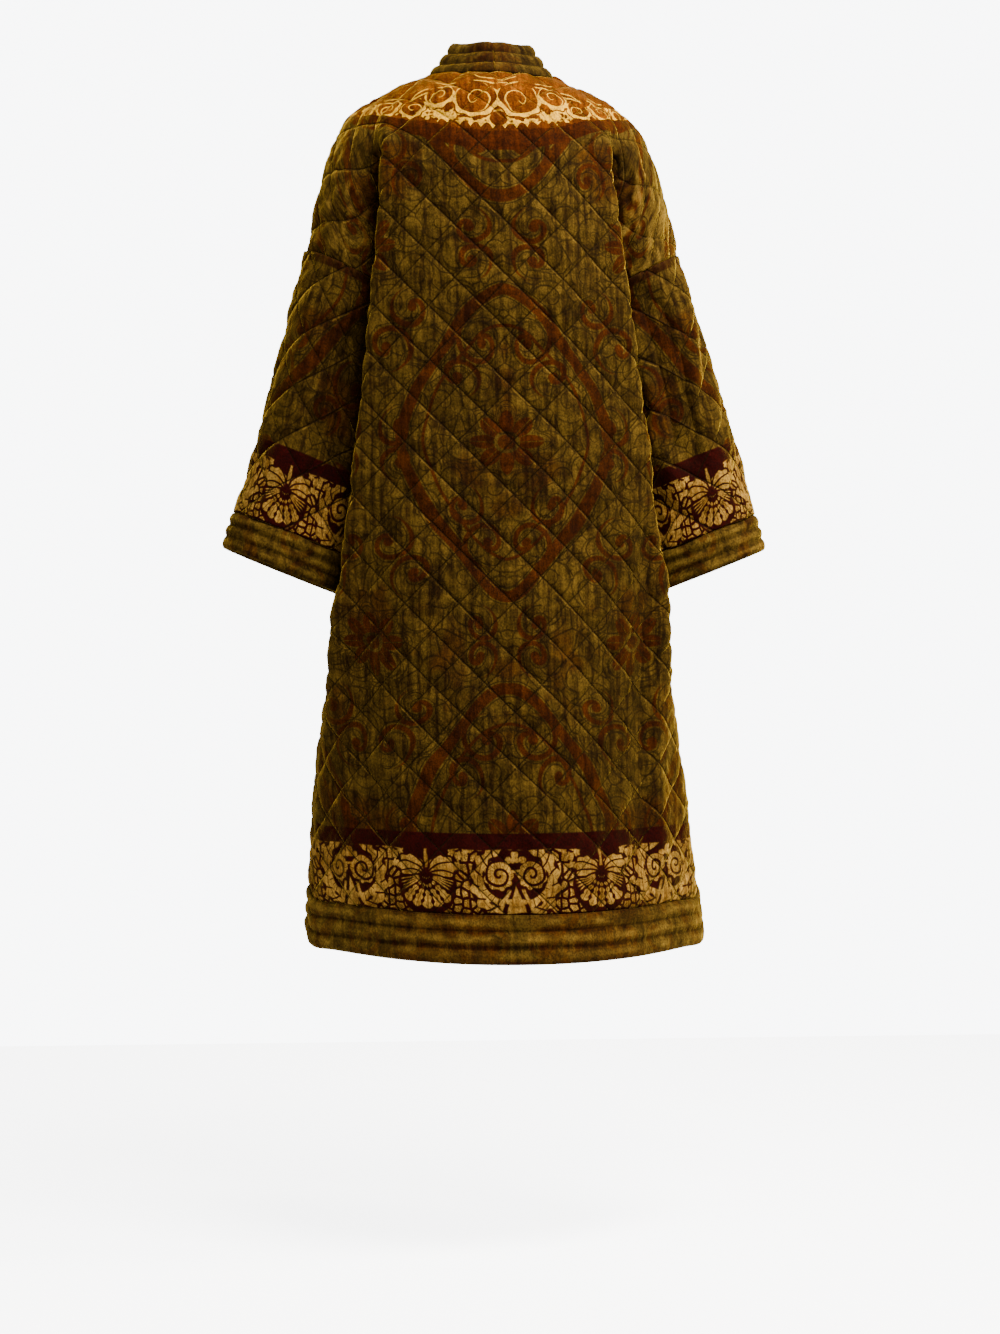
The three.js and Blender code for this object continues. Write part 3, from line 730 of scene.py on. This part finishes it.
def flatPlace(tree):
    uv = tree.nodes.new("ShaderNodeUVMap")
    uv.uv_map = "flat"
    return partsOf(tree, "XYZ", uv.outputs[0])[:2]


# How far a point is from the middle of a winding arm, as a share of the pitch
def coilAt(far, way, pitch):
    return ((far / pitch + way / (2 * math.pi)).part() - 0.5).size()


# A noise or cell texture at x, y in the flat cloth
def textureAt(tree, kind, x, y, settings):
    node = tree.nodes.new("ShaderNodeTex" + kind)
    setattr(node, kind.lower() + "_dimensions", "2D")
    place = tree.nodes.new("ShaderNodeCombineXYZ")
    feed(tree, place.inputs, (x, y))
    tree.links.new(place.outputs[0], node.inputs["Vector"])
    setInputs(tree, node, settings)
    return node


def cloudAt(tree, x, y, scale, detail=2.0, rough=0.5):
    node = textureAt(tree, "Noise", x, y, {"Scale": scale, "Detail": detail, "Roughness": rough})
    return Value(tree, node.outputs[0])


# Two pushes, across and down, that make drawn lines wander
def pushesAt(tree, x, y, scale, apart, detail=1.0):
    return [cloudAt(tree, place, y, scale, detail) - 0.5 for place in (x, x + apart)]


def cellsAt(tree, x, y, scale, spread=1.0):
    return textureAt(tree, "Voronoi", x, y, {"Scale": scale, "Randomness": spread})


# How far the nearest edge between two cells is
def cellEdges(tree, x, y, scale, spread=1.0):
    node = cellsAt(tree, x, y, scale, spread)
    node.feature = "DISTANCE_TO_EDGE"
    return Value(tree, node.outputs["Distance"])


def startGroup(name, *outputs):
    group = bpy.data.node_groups.new(name, "ShaderNodeTree")
    for label in outputs:
        group.interface.new_socket(label, in_out="OUTPUT", socket_type="NodeSocketFloat")
    return group


def groupInputs(group, *labels):
    for label in labels:
        group.interface.new_socket(label, in_out="INPUT", socket_type="NodeSocketFloat")
    source = group.nodes.new("NodeGroupInput")
    return [Value(group, source.outputs[label]) for label in labels]


def endGroup(group, *values):
    feed(group, group.nodes.new("NodeGroupOutput").inputs, values)
    return group


def useGroup(tree, group, *values):
    node = tree.nodes.new("ShaderNodeGroup")
    node.node_tree = group
    feed(tree, node.inputs, values)
    return [Value(tree, output) for output in node.outputs]


printSettings = {
    "frameWidth": 0.36,
    "frameHeight": 0.52,
    "strap": 0.0075,
    "thinStrap": 0.0022,
    "lineWidth": 0.0013,
    "curlStrap": 0.0036,
    "volutes": ((0.152, 0.128, 0.034, 0.03), (0.038, 0.238, 0.026, 0.024), (0.062, 0.085, 0.03, 0.028)),
    "borderHeight": 0.085,
    "borderRepeat": 0.23,
    "bordersAcross": {"body": 2.0, "sleeve": 2.5},
    "stripe": 0.019,
    "shoulderBand": 0.133,
    "shoulderEdge": 0.027,
    "shoulderReach": 0.207,
}


# Spiral scrolls, one in each cell of a loose grid: bold is the filled arm, thin the drawn line
def scrollsAt(tree, x, y, scale, turns, seed):
    cells = cellsAt(tree, x + seed, y, scale, 0.7)
    middleX, middleY, _ = partsOf(tree, "XYZ", cells.outputs["Position"])
    pick = partsOf(tree, "Color", cells.outputs["Color"])[0]
    dx, dy = x + seed - middleX, y - middleY
    flip = (pick - 0.5).sign()
    radius = hypot(dx, dy) * scale
    turn = dy.angle(dx * flip) / (2 * math.pi)
    arm = (radius.root() * turns - turn + pick * 3.0).part() - 0.5
    return arm.size(), radius, pick


def groundPrint():
    p = printSettings
    group = startGroup("Ground print", "Strap", "Line", "Cloud")
    u, v = flatPlace(group)
    u = u.size()
    push, pushDown = pushesAt(group, u, v, 9.0, 7.0)
    x, y = u + push * 0.02, v + pushDown * 0.02
    wide, tall = p["frameWidth"], p["frameHeight"]
    kx, ky = 2 * math.pi / wide, 2 * math.pi / tall
    field = (x * kx).cosine() + ((y - 0.02) * ky).cosine()
    slope = hypot((x * kx).sine() * kx, ((y - 0.02) * ky).sine() * ky).high(3.0)

    def ring(level, width):
        return ((field - level).size() / slope).below(width, 0.0006)

    strap = ring(0.25, p["strap"]).high(ring(0.72, p["thinStrap"]))
    outline = ((field - 0.25).size() / slope - p["strap"] * 1.35).size()
    fine = outline.low((field - 0.72).size() / slope - 0.0001)
    for middleX, middleY in ((0.0, 0.02), (0.5, 0.52)):
        atX = (((x / wide - middleX + 0.5).part() - 0.5) * wide).size()
        atY = (((y - 0.02) / tall - middleY + 0.52).part() - 0.5) * tall
        far, way = hypot(atX, atY), atY.angle(atX)
        petals = (way * 4.0).cosine().size() * 0.02 + 0.024
        flower = (far - petals).below(0.0, 0.0008) * (far - 0.012).size().above(0.0024, 0.0006)
        strap = strap.high(flower * (way * 8.0).sine().size().above(0.12, 0.05))
        fine = fine.low((far - petals - 0.008).size()).low((far - petals - 0.013).size())
        for cx, cy, reach, pitch in p["volutes"]:
            dx, dy = atX - cx, atY.size() - cy
            out, turn = hypot(dx, dy), dy.angle(dx) / (2 * math.pi)
            arm = ((out / pitch - turn).part() - 0.5).size() * pitch
            inside = out.below(reach, 0.001)
            knob = out.below(0.0065, 0.0008)
            strap = strap.high(arm.below(p["curlStrap"], 0.0006) * inside).high(knob)
            fine = fine.low((arm - p["curlStrap"] * 1.9).size() + out.above(reach, 0.002) * 0.01)
    line = fine.below(p["lineWidth"] * 0.55, 0.0004) * (1.0 - strap)
    arm, radius, pick = scrollsAt(group, x, y, 21.0, 2.4, 3.0)
    spiral = arm.below(0.045, 0.03) * radius.below(0.5, 0.02)
    rim = (radius - 0.5).within(0.024, 0.012)
    vein = cellEdges(group, x + push * 0.02, y + pushDown * 0.02, 36.0).below(0.035, 0.022)
    small = cellEdges(group, x, y * 1.6, 80.0).below(0.03, 0.025) * 0.6
    vein = (vein * radius.above(0.5, 0.02)).high(small * pick.above(0.6, 0.05))
    line = (spiral.high(rim * 0.8).high(vein) * (1.0 - strap)).high(line)
    cloud = cloudAt(group, u, v, 5.0, 4.0, 0.6)
    return endGroup(group, strap, line, cloud)


# The lower edge of the band over the shoulders, which rises to nothing at its reach
def archAt(u, tall, reach, bow):
    share = u / reach
    return (1.0 - share * share).high(0.0).power(bow) * tall


# One repeat of a running border, drawn by rules: a ribbed fan under two wings of curled petals, and
# between the fans a pair of volutes over a spear, inside a leafy ring. 1 is the light colour.
borderSettings = {
    "fan": 0.6,
    "fanReach": 0.53,
    "gap": 0.019,
    "wing": (0.25, 0.71, 0.2),
    "berries": ((0.4, 0.93, 0.05), (0.52, 0.88, 0.055), (0.62, 0.95, 0.045), (0.5, 0.74, 0.05)),
    "ring": (1.353, 0.5, 0.66, 0.5),
    "volute": (1.1, 0.6, 0.215, 0.125),
    "spear": (0.44, 0.16),
    "leaves": 7.5,
}


def borderPrint():
    b, p = borderSettings, printSettings
    group = startGroup("Border print", "Motif")
    across, up = groupInputs(group, "Across", "Up")
    wide = p["borderRepeat"] / p["borderHeight"] / 2
    push, pushUp = pushesAt(group, across, up, 4.0, 5.0)
    x = ((across * 0.5).part() - 0.5).size() * (2.0 * wide) + push * 0.05
    y = up + pushUp * 0.05
    gap, soft = b["gap"], 0.012

    def disc(cx, cy, radius, lobes=0, depth=0.0, squash=1.0):
        dx, dy = x - cx, (y - cy) * squash
        far, way = hypot(dx, dy), dy.angle(dx)
        edge = far - radius if not lobes else far - (way * lobes).cosine() * depth - radius
        return edge.below(0.0, soft), far, way

    down = b["fan"] - y
    far, way = hypot(x, down), x.angle(down)
    finger = (way * 9.0).cosine().size()
    fan = (far - finger * 0.05).below(b["fanReach"] - 0.05, soft) * way.within(0.84, 0.03)
    notch = (far * 62.0).sine() * 0.5 + 1.0
    fan = fan * (finger * far * 0.111 - notch * gap).above(0.0, 0.006) * far.above(0.06, soft)
    rib = ((way * 9.0).sine().size() * far * 0.111).below(0.006, 0.006) * far.above(0.16, 0.03)
    fan = fan * (1.0 - rib * 0.7)
    hairs = ((way * 26.0).sine().size() * far * 0.0385).below(0.008, 0.006)
    hairs = hairs * (way.size() - 1.12).within(0.22, 0.02) * (far - 0.28).within(0.14, 0.03)
    cx, cy, reach = b["wing"]
    wing, _, _ = disc(cx, cy, reach, 7, 0.02, 1.25)
    rise = y - b["fan"] + 0.04
    far, way = hypot(x, rise), rise.angle(x)
    petal = ((way + far * 1.5) * 8.0).sine().size() * far * 0.125
    wing = wing * petal.above(gap * 0.75, 0.006) * (x - 0.035).above(0.0, soft)
    stem = (x - 0.022).below(0.0, soft) * y.above(b["fan"] + 0.1, 0.01)
    drawn = fan.high(hairs).high(wing).high(stem)
    for cx, cy, reach in b["berries"]:
        drawn = drawn.high(disc(cx, cy, reach, 5, 0.01)[0])
    cx, cy, outer, inner = b["ring"]
    ring, far, way = disc(cx, cy, outer, 17, 0.035)
    hollow, _, _ = disc(cx, cy, inner, 13, 0.02)
    cut = ((way * 9.0 + far * 9.0).sine().size() * far * 0.111).below(gap * 0.8, 0.008)
    spine = (far - (outer + inner) * 0.49).within(0.008, 0.008)
    ring = ring * (1.0 - hollow) * (1.0 - cut) * (1.0 - spine * 0.7)
    cx, cy, reach, pitch = b["volute"]
    whole, far, way = disc(cx, cy, reach, 9, 0.014)
    coil = coilAt(far, way, pitch).below(0.33, 0.06)
    cuts = (way * 8.0 - far * 14.0).sine().within(0.2, 0.1) * far.above(0.1, 0.01)
    volute = whole * coil * (1.0 - cuts * 0.8)
    horn, far, way = disc(cx + 0.04, cy - 0.13, 0.33, 11, 0.02)
    horn = horn * (1.0 - disc(cx + 0.09, cy - 0.06, 0.31)[0]) * (way * 9.0).sine().size().above(0.2, 0.08)
    horn = horn * (1.0 - disc(cx, cy, reach + 0.035)[0])
    tall, half = b["spear"]
    side = wide - x
    spear = (side - (1.0 - y / tall) * half).below(0.0, soft)
    barb = (side - 0.085 - (tall - y) * 0.42).within(0.028, soft)
    spear = spear.high(barb * y.below(tall - 0.06, 0.02))
    palm = disc(wide, 0.86, 0.07, 3, 0.02)[0].high(disc(wide - 0.11, 0.82, 0.05)[0])
    palm = palm.high((y - 0.66).within(0.018, soft) * side.below(0.1, soft))
    drawn = drawn.high(ring).high(volute).high(horn).high(spear).high(palm)
    clear = disc(wide, 0.5, outer + 0.035)[0].high(disc(0.0, 0.42, 0.47)[0]).high(disc(0.0, 0.75, 0.47)[0])
    leaves = cellEdges(group, x, y, b["leaves"], 0.85).above(0.15, 0.03)
    vein = cellEdges(group, x + 2.0, y, b["leaves"] * 2.4).above(0.06, 0.05)
    filler = leaves * (vein * 0.7 + 0.3) * (1.0 - clear)
    edge = ((across * 16.0).sine() * 0.015 + y).above(0.025, 0.012) * y.below(0.975, 0.012)
    return endGroup(group, drawn.high(filler * 0.95) * edge)


# The band over the shoulders: rust scrollwork so full that the pale ground shows only as crescents under
# each scroll, as coils, sprigs, and gaps between the lumps of its lower edge. 1 is the pale ground. Each
# scroll gives its middle across and down, its radius, the rise of the crescent and the way that it winds.
bandSettings = {
    "scrolls": (
        (0.028, 0.082, 0.030, 0.0038, 1),
        (0.076, 0.070, 0.020, 0.0038, -1),
        (0.112, 0.080, 0.018, 0.0038, 1),
        (0.148, 0.064, 0.018, 0.0036, -1),
        (0.180, 0.044, 0.015, 0.0034, 1),
    ),
    "sprigs": ((0.0, 0.040, 15.0), (0.050, 0.042, 12.0), (0.090, 0.046, -14.0), (0.125, 0.038, 12.0)),
    "boss": (0.0, 0.115, 0.0115),
    "line": 0.0010,
    "lump": 0.0145,
}


def bandPrint():
    b, p = bandSettings, printSettings
    group = startGroup("Shoulder band print", "Ground")
    u, v = flatPlace(group)
    push, pushDown = pushesAt(group, u.size(), v, 26.0, 3.0, 2.0)
    x, y = u.size() + push * 0.008, v + pushDown * 0.008
    pale = outside = None
    for cx, cy, reach, rise, winding in b["scrolls"]:
        dx, dy = x - cx, y - cy
        far, way = hypot(dx, dy), dy.angle(dx * winding)
        edge = far - (way * 9.0).cosine() * 0.0012 - reach
        crescent = edge.below(0.0, 0.0005) * (hypot(dx, dy + rise) - reach + rise * 0.7).above(0.0, 0.0005)
        pitch = reach * 0.62
        coil = coilAt(far, way, pitch) * pitch
        width = far * 0.025 + b["line"] * 0.45
        coil = (coil - width).below(0.0, 0.0005) * far.below(reach * 0.72, 0.001) * far.above(0.003, 0.001)
        drawn = crescent.high(coil)
        pale = drawn if pale is None else pale.high(drawn)
        outside = edge if outside is None else outside.low(edge)
    for start, top, bend in b["sprigs"]:
        away = x - start
        for steep in (1.0, 0.4):
            curve = (y - top - 0.005 / steep + away * away * (bend * steep)).size()
            pale = pale.high(curve.below(b["line"], 0.0005) * (away - 0.015).within(0.013, 0.002))
    lower = archAt(u, p["shoulderBand"], p["shoulderReach"], 0.7)
    lumps = (((x / b["lump"]).part() - 0.5).size() * 3.1).sine() * 0.007
    between = outside.above(0.0022, 0.0005) * (lower - y - 0.003 - lumps).above(0.0, 0.0006)
    between = between * (y - (lower - 0.03)).above(0.0, 0.003)
    between = between * cloudAt(group, x, y, 60.0, 2.0).above(0.48, 0.03)
    cx, cy, reach = b["boss"]
    boss = (hypot(x - cx, y - cy) - reach).above(0.0, 0.0006)
    return endGroup(group, pale.high(between) * boss)


# Crushed pile: streaks down the cloth, a fine nap, and the crush where the pile lies over, which makes
# bumps and, on the bands, a painted highlight
def velvetPile():
    group = startGroup("Velvet pile", "Streak", "Nap", "Shine", "Tone")
    u, v = flatPlace(group)
    streak = cloudAt(group, u * 16.0, v * 1.6, 9.0, 3.0, 0.6)
    bars = cloudAt(group, u * 3.0, v * 9.0, 5.0, 3.0, 0.6)
    nap = cloudAt(group, u, v, 900.0, 2.0, 0.6)
    crush = cloudAt(group, u, v * 0.8, 34.0, 3.0, 0.65)
    grain = cloudAt(group, u * 1.3, v, 330.0, 3.0, 0.75).above(0.5, 0.17)
    lie = cloudAt(group, u + 4.0, v * 0.7, 60.0, 3.0, 0.7).above(0.52, 0.12)
    tone = grain * 0.75 + lie * 0.4 + 0.46
    return endGroup(group, streak * 0.62 + bars * 0.38, nap, crush, tone)


# Stitch lines of the quilting: a thin dark line, its groove with the thread's dashes, the small
# puckers that run out from it, and a painted highlight in streaks beside the stronger lines
stitchSettings = {
    "line": 0.0009,
    "faint": 0.85,
    "stitch": 0.0062,
    "puckerEvery": 0.0085,
    "puckerReach": 0.012,
}


def stitchLines():
    q, t = quiltSettings, stitchSettings
    group = startGroup("Stitch lines", "Dark", "Groove", "Pucker", "Bright")
    startAcross, startDrop = groupInputs(group, "Start across", "Start drop")
    u, v = flatPlace(group)
    x, y = u - startAcross, v - startDrop
    spacing = q["spacing"] * 0.001 * math.sqrt(2)
    dark = groove = pucker = bright = None
    for a, b, weight in ((x + y, x - y, 1.0), (x - y, x + y, t["faint"])):
        across = ((a / spacing + 0.5).part() - 0.5) * (spacing / math.sqrt(2))
        away = across.size()
        line = away.below(t["line"], 0.0007) * weight
        dash = ((b / (t["stitch"] * math.sqrt(2))).part() - 0.5).within(0.36, 0.06)
        ditch = 1.0 - (1.0 - (away / 0.003).low(1.0).root()) * weight - dash * line * 0.25
        near = (away / t["puckerReach"]).low(1.0)
        near = (1.0 - near) * (away / 0.0015).low(1.0)
        wave = cloudAt(group, b * (0.7071 / t["puckerEvery"]), a * 14.0, 1.0, 1.0) - 0.5
        # A painted highlight in patchy streaks beside the stronger lines only
        if bright is None:
            bright = (across - 0.0022).within(0.0006, 0.0007)
            bright = bright * cloudAt(group, b * 30.0, a * 9.0, 1.0, 3.0).above(0.58, 0.06)
        dark = line if dark is None else dark.high(line)
        groove = ditch if groove is None else groove.low(ditch)
        pucker = wave * near if pucker is None else pucker + wave * near
    return endGroup(group, dark, groove, pucker, bright)


groundGroup, borderGroup, bandGroup = groundPrint(), borderPrint(), bandPrint()
pileGroup, stitchGroup = velvetPile(), stitchLines()

colours = {
    "oliveDark": (0.007, 0.0027, 0.0003),
    "oliveLight": (0.06, 0.0335, 0.004),
    "rust": (0.025, 0.0046, 0.0002),
    "rustDark": (0.009, 0.0015, 0.0001),
    "line": (0.0035, 0.0014, 0.0002),
    "burgundy": (0.009, 0.0003, 0.0002),
    "gold": (0.21, 0.112, 0.019),
    "goldDark": (0.08, 0.034, 0.004),
    "cream": (0.33, 0.165, 0.008),
    "orangeRust": (0.11, 0.028, 0.0003),
    "orangeDark": (0.03, 0.0056, 0.0002),
    # The last two colours are painted: shade, and a highlight
    "deep": (0.0022, 0.0008, 0.0001),
    "worn": (0.2, 0.115, 0.016),
}


def mixed(tree, share, first, second):
    node = tree.nodes.new("ShaderNodeMix")
    node.data_type = "RGBA"
    feed(tree, (node.inputs["Factor"], node.inputs[6], node.inputs[7]), (share, first, second))
    return Value(tree, node.outputs[2])


velvetSettings = {
    "napHeight": 0.0006,
    "crushHeight": 0.0042,
    "grooveDepth": 0.0017,
    "puckerHeight": 0.0034,
    "bump": 0.7,
}
velvetSurface = {
    "Roughness": 0.9,
    "Specular IOR Level": 0.02,
    "Sheen Weight": 0.42,
    "Sheen Roughness": 0.3,
    "Sheen Tint": (0.9, 0.54, 0.05),
}


# The orange and cream band over the shoulders, with its rust edge
def shoulderBand(tree, colour, u, v, streaks, rust):
    p, c = printSettings, colours
    lower = archAt(u, p["shoulderBand"], p["shoulderReach"], 0.7)
    edge = archAt(u, p["shoulderBand"] + p["shoulderEdge"], p["shoulderReach"] + 0.008, 0.62)
    inBand = (v - lower).below(0.0, 0.0008)
    colour = mixed(tree, (v - edge).below(0.0, 0.0008), colour, rust)
    orange = mixed(tree, streaks, c["orangeDark"], c["orangeRust"])
    # Painted shade: the orange turns dark rust over the band's lower part, and darker at its top by the
    # neck seam, where the light from above falls strongest
    orange = mixed(tree, v.above(0.09, 0.045) * 0.7, orange, rust)
    orange = mixed(tree, v.below(0.045, 0.03) * 0.65, orange, c["orangeDark"])
    veins = cellEdges(tree, u.size(), v, 75.0).below(0.05, 0.04)
    orange = mixed(tree, veins * 0.6, orange, c["orangeDark"])
    scrolls = mixed(tree, useGroup(tree, bandGroup)[0], orange, c["cream"])
    return mixed(tree, inBand, colour, scrolls), inBand


def newMaterial(name):
    material = bpy.data.materials.new(name)
    material.use_nodes = True
    return material, material.node_tree, material.node_tree.nodes["Principled BSDF"]


# kind is body, sleeve or band
def velvet(name, kind):
    p, c, q = printSettings, colours, velvetSettings
    material, tree, shader = newMaterial(name)
    u, v = flatPlace(tree)
    strap, line, cloud = useGroup(tree, groundGroup)
    streak, nap, shine, tone = useGroup(tree, pileGroup)
    streaks = streak.above(0.5, 0.2)
    olive = mixed(tree, streaks * 0.75, c["oliveDark"], c["oliveLight"])
    rust = mixed(tree, streaks, c["rustDark"], c["rust"])
    colour = mixed(tree, cloud.above(0.54, 0.05) * 0.6, olive, rust)
    colour = mixed(tree, strap * (0.6 if kind == "band" else 0.92), colour, rust)
    colour = mixed(tree, line * (0.5 if kind == "band" else 0.72), colour, c["line"])
    height = nap * q["napHeight"] + shine * q["crushHeight"]
    if kind == "band":
        # A painted highlight in patches on the bands
        colour = mixed(tree, shine.above(0.6, 0.09) * 0.1, colour, c["worn"])
    else:
        crossing = [place * 0.001 for place in quiltSettings[kind + "Crossing"]]
        dark, groove, pucker, bright = useGroup(tree, stitchGroup, *crossing)
        height = height + groove * q["grooveDepth"] + pucker * q["puckerHeight"]
        end = (bodyEnd if kind == "body" else sleeveLength - cuffBand) * 0.001
        tall = p["borderHeight"]
        inBorder = (v - (end - tall)).above(0.0, 0.0006)
        inStripe = (v - (end - tall - p["stripe"])).above(0.0, 0.0008)
        colour = mixed(tree, inStripe, colour, c["burgundy"])
        gold = mixed(tree, streaks, c["goldDark"], c["gold"])
        across = u * (p["bordersAcross"][kind] / p["borderRepeat"])
        motif = useGroup(tree, borderGroup, across, (end - v) / tall)[0]
        colour = mixed(tree, inBorder, colour, mixed(tree, motif, c["burgundy"], gold))
        if kind == "body":
            colour, inBand = shoulderBand(tree, colour, u, v, streaks, rust)
            dark = dark * (1.0 - inBand * 0.6)
        else:
            colour = mixed(tree, v.below(0.0115, 0.0008) * 0.8, colour, c["rustDark"])
        colour = mixed(tree, dark * 0.85, colour, c["line"])
        # Painted highlight streaks beside the stitch lines
        colour = mixed(tree, bright * 0.16, colour, c["worn"])
    # Painted light from the crease attribute: shade where it is above 0, a highlight where it is below 0
    crease = tree.nodes.new("ShaderNodeAttribute")
    crease.attribute_name = "crease"
    crease = Value(tree, crease.outputs["Fac"])
    colour = mixed(tree, crease.high(0.0) * 0.9, colour, c["deep"])
    colour = mixed(tree, (crease * -1.0).high(0.0) * 0.85, colour, c["worn"])
    toned = tree.nodes.new("ShaderNodeHueSaturation")
    setInputs(tree, toned, {"Color": colour, "Value": tone})
    tree.links.new(toned.outputs[0], shader.inputs["Base Color"])
    setInputs(tree, shader, velvetSurface)
    bump = tree.nodes.new("ShaderNodeBump")
    setInputs(tree, bump, {"Strength": q["bump"], "Distance": 1.0, "Height": height})
    tree.links.new(bump.outputs[0], shader.inputs["Normal"])
    return material


materials = {
    "body": velvet("velvet quilted body", "body"),
    "sleeve": velvet("velvet quilted sleeve", "sleeve"),
    "band": velvet("velvet band", "band"),
}
kinds = {"back": "body", "front": "body", "sleeve": "sleeve"}
for node, piece in pieces.items():
    kind = kinds.get(node.split("_")[0], "band")
    piece.data.materials.append(materials[kind])
    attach(piece, "root")
    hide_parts(node)
print("velvet ready")

# The pale room, its soft light from above, and the camera behind the coat
stageSettings = {
    "floor": -1.57,
    "floorBack": -1.9,
    "floorGlow": 5.4,
    "roomLight": 0.18,
    "roomSeen": 8.5,
    "distance": 3.6,
    "turn": 5.0,
    "centre": (-0.014, 0.0, -0.799),
    "lens": 71.96,
}


# Sets a strength that the camera sees apart from the one that lights the coat
def strengthSeen(tree, socket, unseen, seen):
    rays = tree.nodes.new("ShaderNodeLightPath")
    level = tree.nodes.new("ShaderNodeMapRange")
    setInputs(tree, level, {"To Min": unseen, "To Max": seen})
    tree.links.new(rays.outputs["Is Camera Ray"], level.inputs["Value"])
    tree.links.new(level.outputs["Result"], socket)


floorMaterial, floorTree, floorShader = newMaterial("pale floor")
floorSurface = {"Base Color": (0.8, 0.8, 0.8), "Roughness": 0.9, "Emission Color": (1, 1, 1)}
setInputs(floorTree, floorShader, floorSurface)
strengthSeen(floorTree, floorShader.inputs["Emission Strength"], 0.0, stageSettings["floorGlow"])
floorPlace = (0, stageSettings["floorBack"] + 4, stageSettings["floor"])
bpy.ops.mesh.primitive_plane_add(size=1, location=floorPlace)
floor = bpy.context.object
floor.scale = (30, 8, 1)
bpy.ops.object.transform_apply(location=True, scale=True)
floor.name = "floor"
floor.data.materials.append(floorMaterial)

# The room looks almost white, and lights the coat more softly than it looks
world = bpy.data.worlds.new("pale room")
bpy.context.scene.world = world
world.use_nodes = True
background = world.node_tree.nodes["Background"]
setInputs(world.node_tree, background, {"Color": (0.97, 0.985, 1.0)})
room = background.inputs["Strength"]
strengthSeen(world.node_tree, room, stageSettings["roomLight"], stageSettings["roomSeen"])


def softLight(name, place, aim, size, power, colour=(1, 1, 1)):
    light = bpy.data.lights.new(name, "AREA")
    light.shape = "RECTANGLE"
    light.size, light.size_y = size
    light.energy = power
    light.color = colour
    lamp = addObject(name, light)
    lamp.location = place
    lamp.visible_camera = False
    way = np.array(aim) - np.array(place)
    flat = math.hypot(way[0], way[1])
    lamp.rotation_euler = (math.atan2(flat, -way[2]), 0, math.atan2(way[1], way[0]) - math.pi / 2)


softLight("top light", (-0.7, 1.3, 1.75), (0, 0, -0.35), (1.5, 0.8), 345, (1.0, 0.98, 0.95))
softLight("edge light", (-2.0, 0.55, 0.75), (-0.3, 0, -0.3), (0.5, 1.0), 105, (1.0, 0.95, 0.85))
softLight("side light", (2.2, 1.6, 0.2), (0, 0, -0.6), (1.0, 2.0), 30)
softLight("front light", (-0.5, -2.6, 0.9), (0, 0, -0.6), (1.6, 1.6), 60)

camera = addObject("camera", bpy.data.cameras.new("camera"))
turn = math.radians(stageSettings["turn"])
cx, cy, cz = stageSettings["centre"]
far = stageSettings["distance"]
camera.location = (cx + math.sin(turn) * far, cy + math.cos(turn) * far, cz)
camera.rotation_euler = (math.pi / 2, 0, math.pi - turn)
camera.data.lens = stageSettings["lens"]
camera.data.sensor_width = 36.0
camera.data.sensor_fit = "AUTO"
bpy.context.scene.camera = camera
print("stage ready")
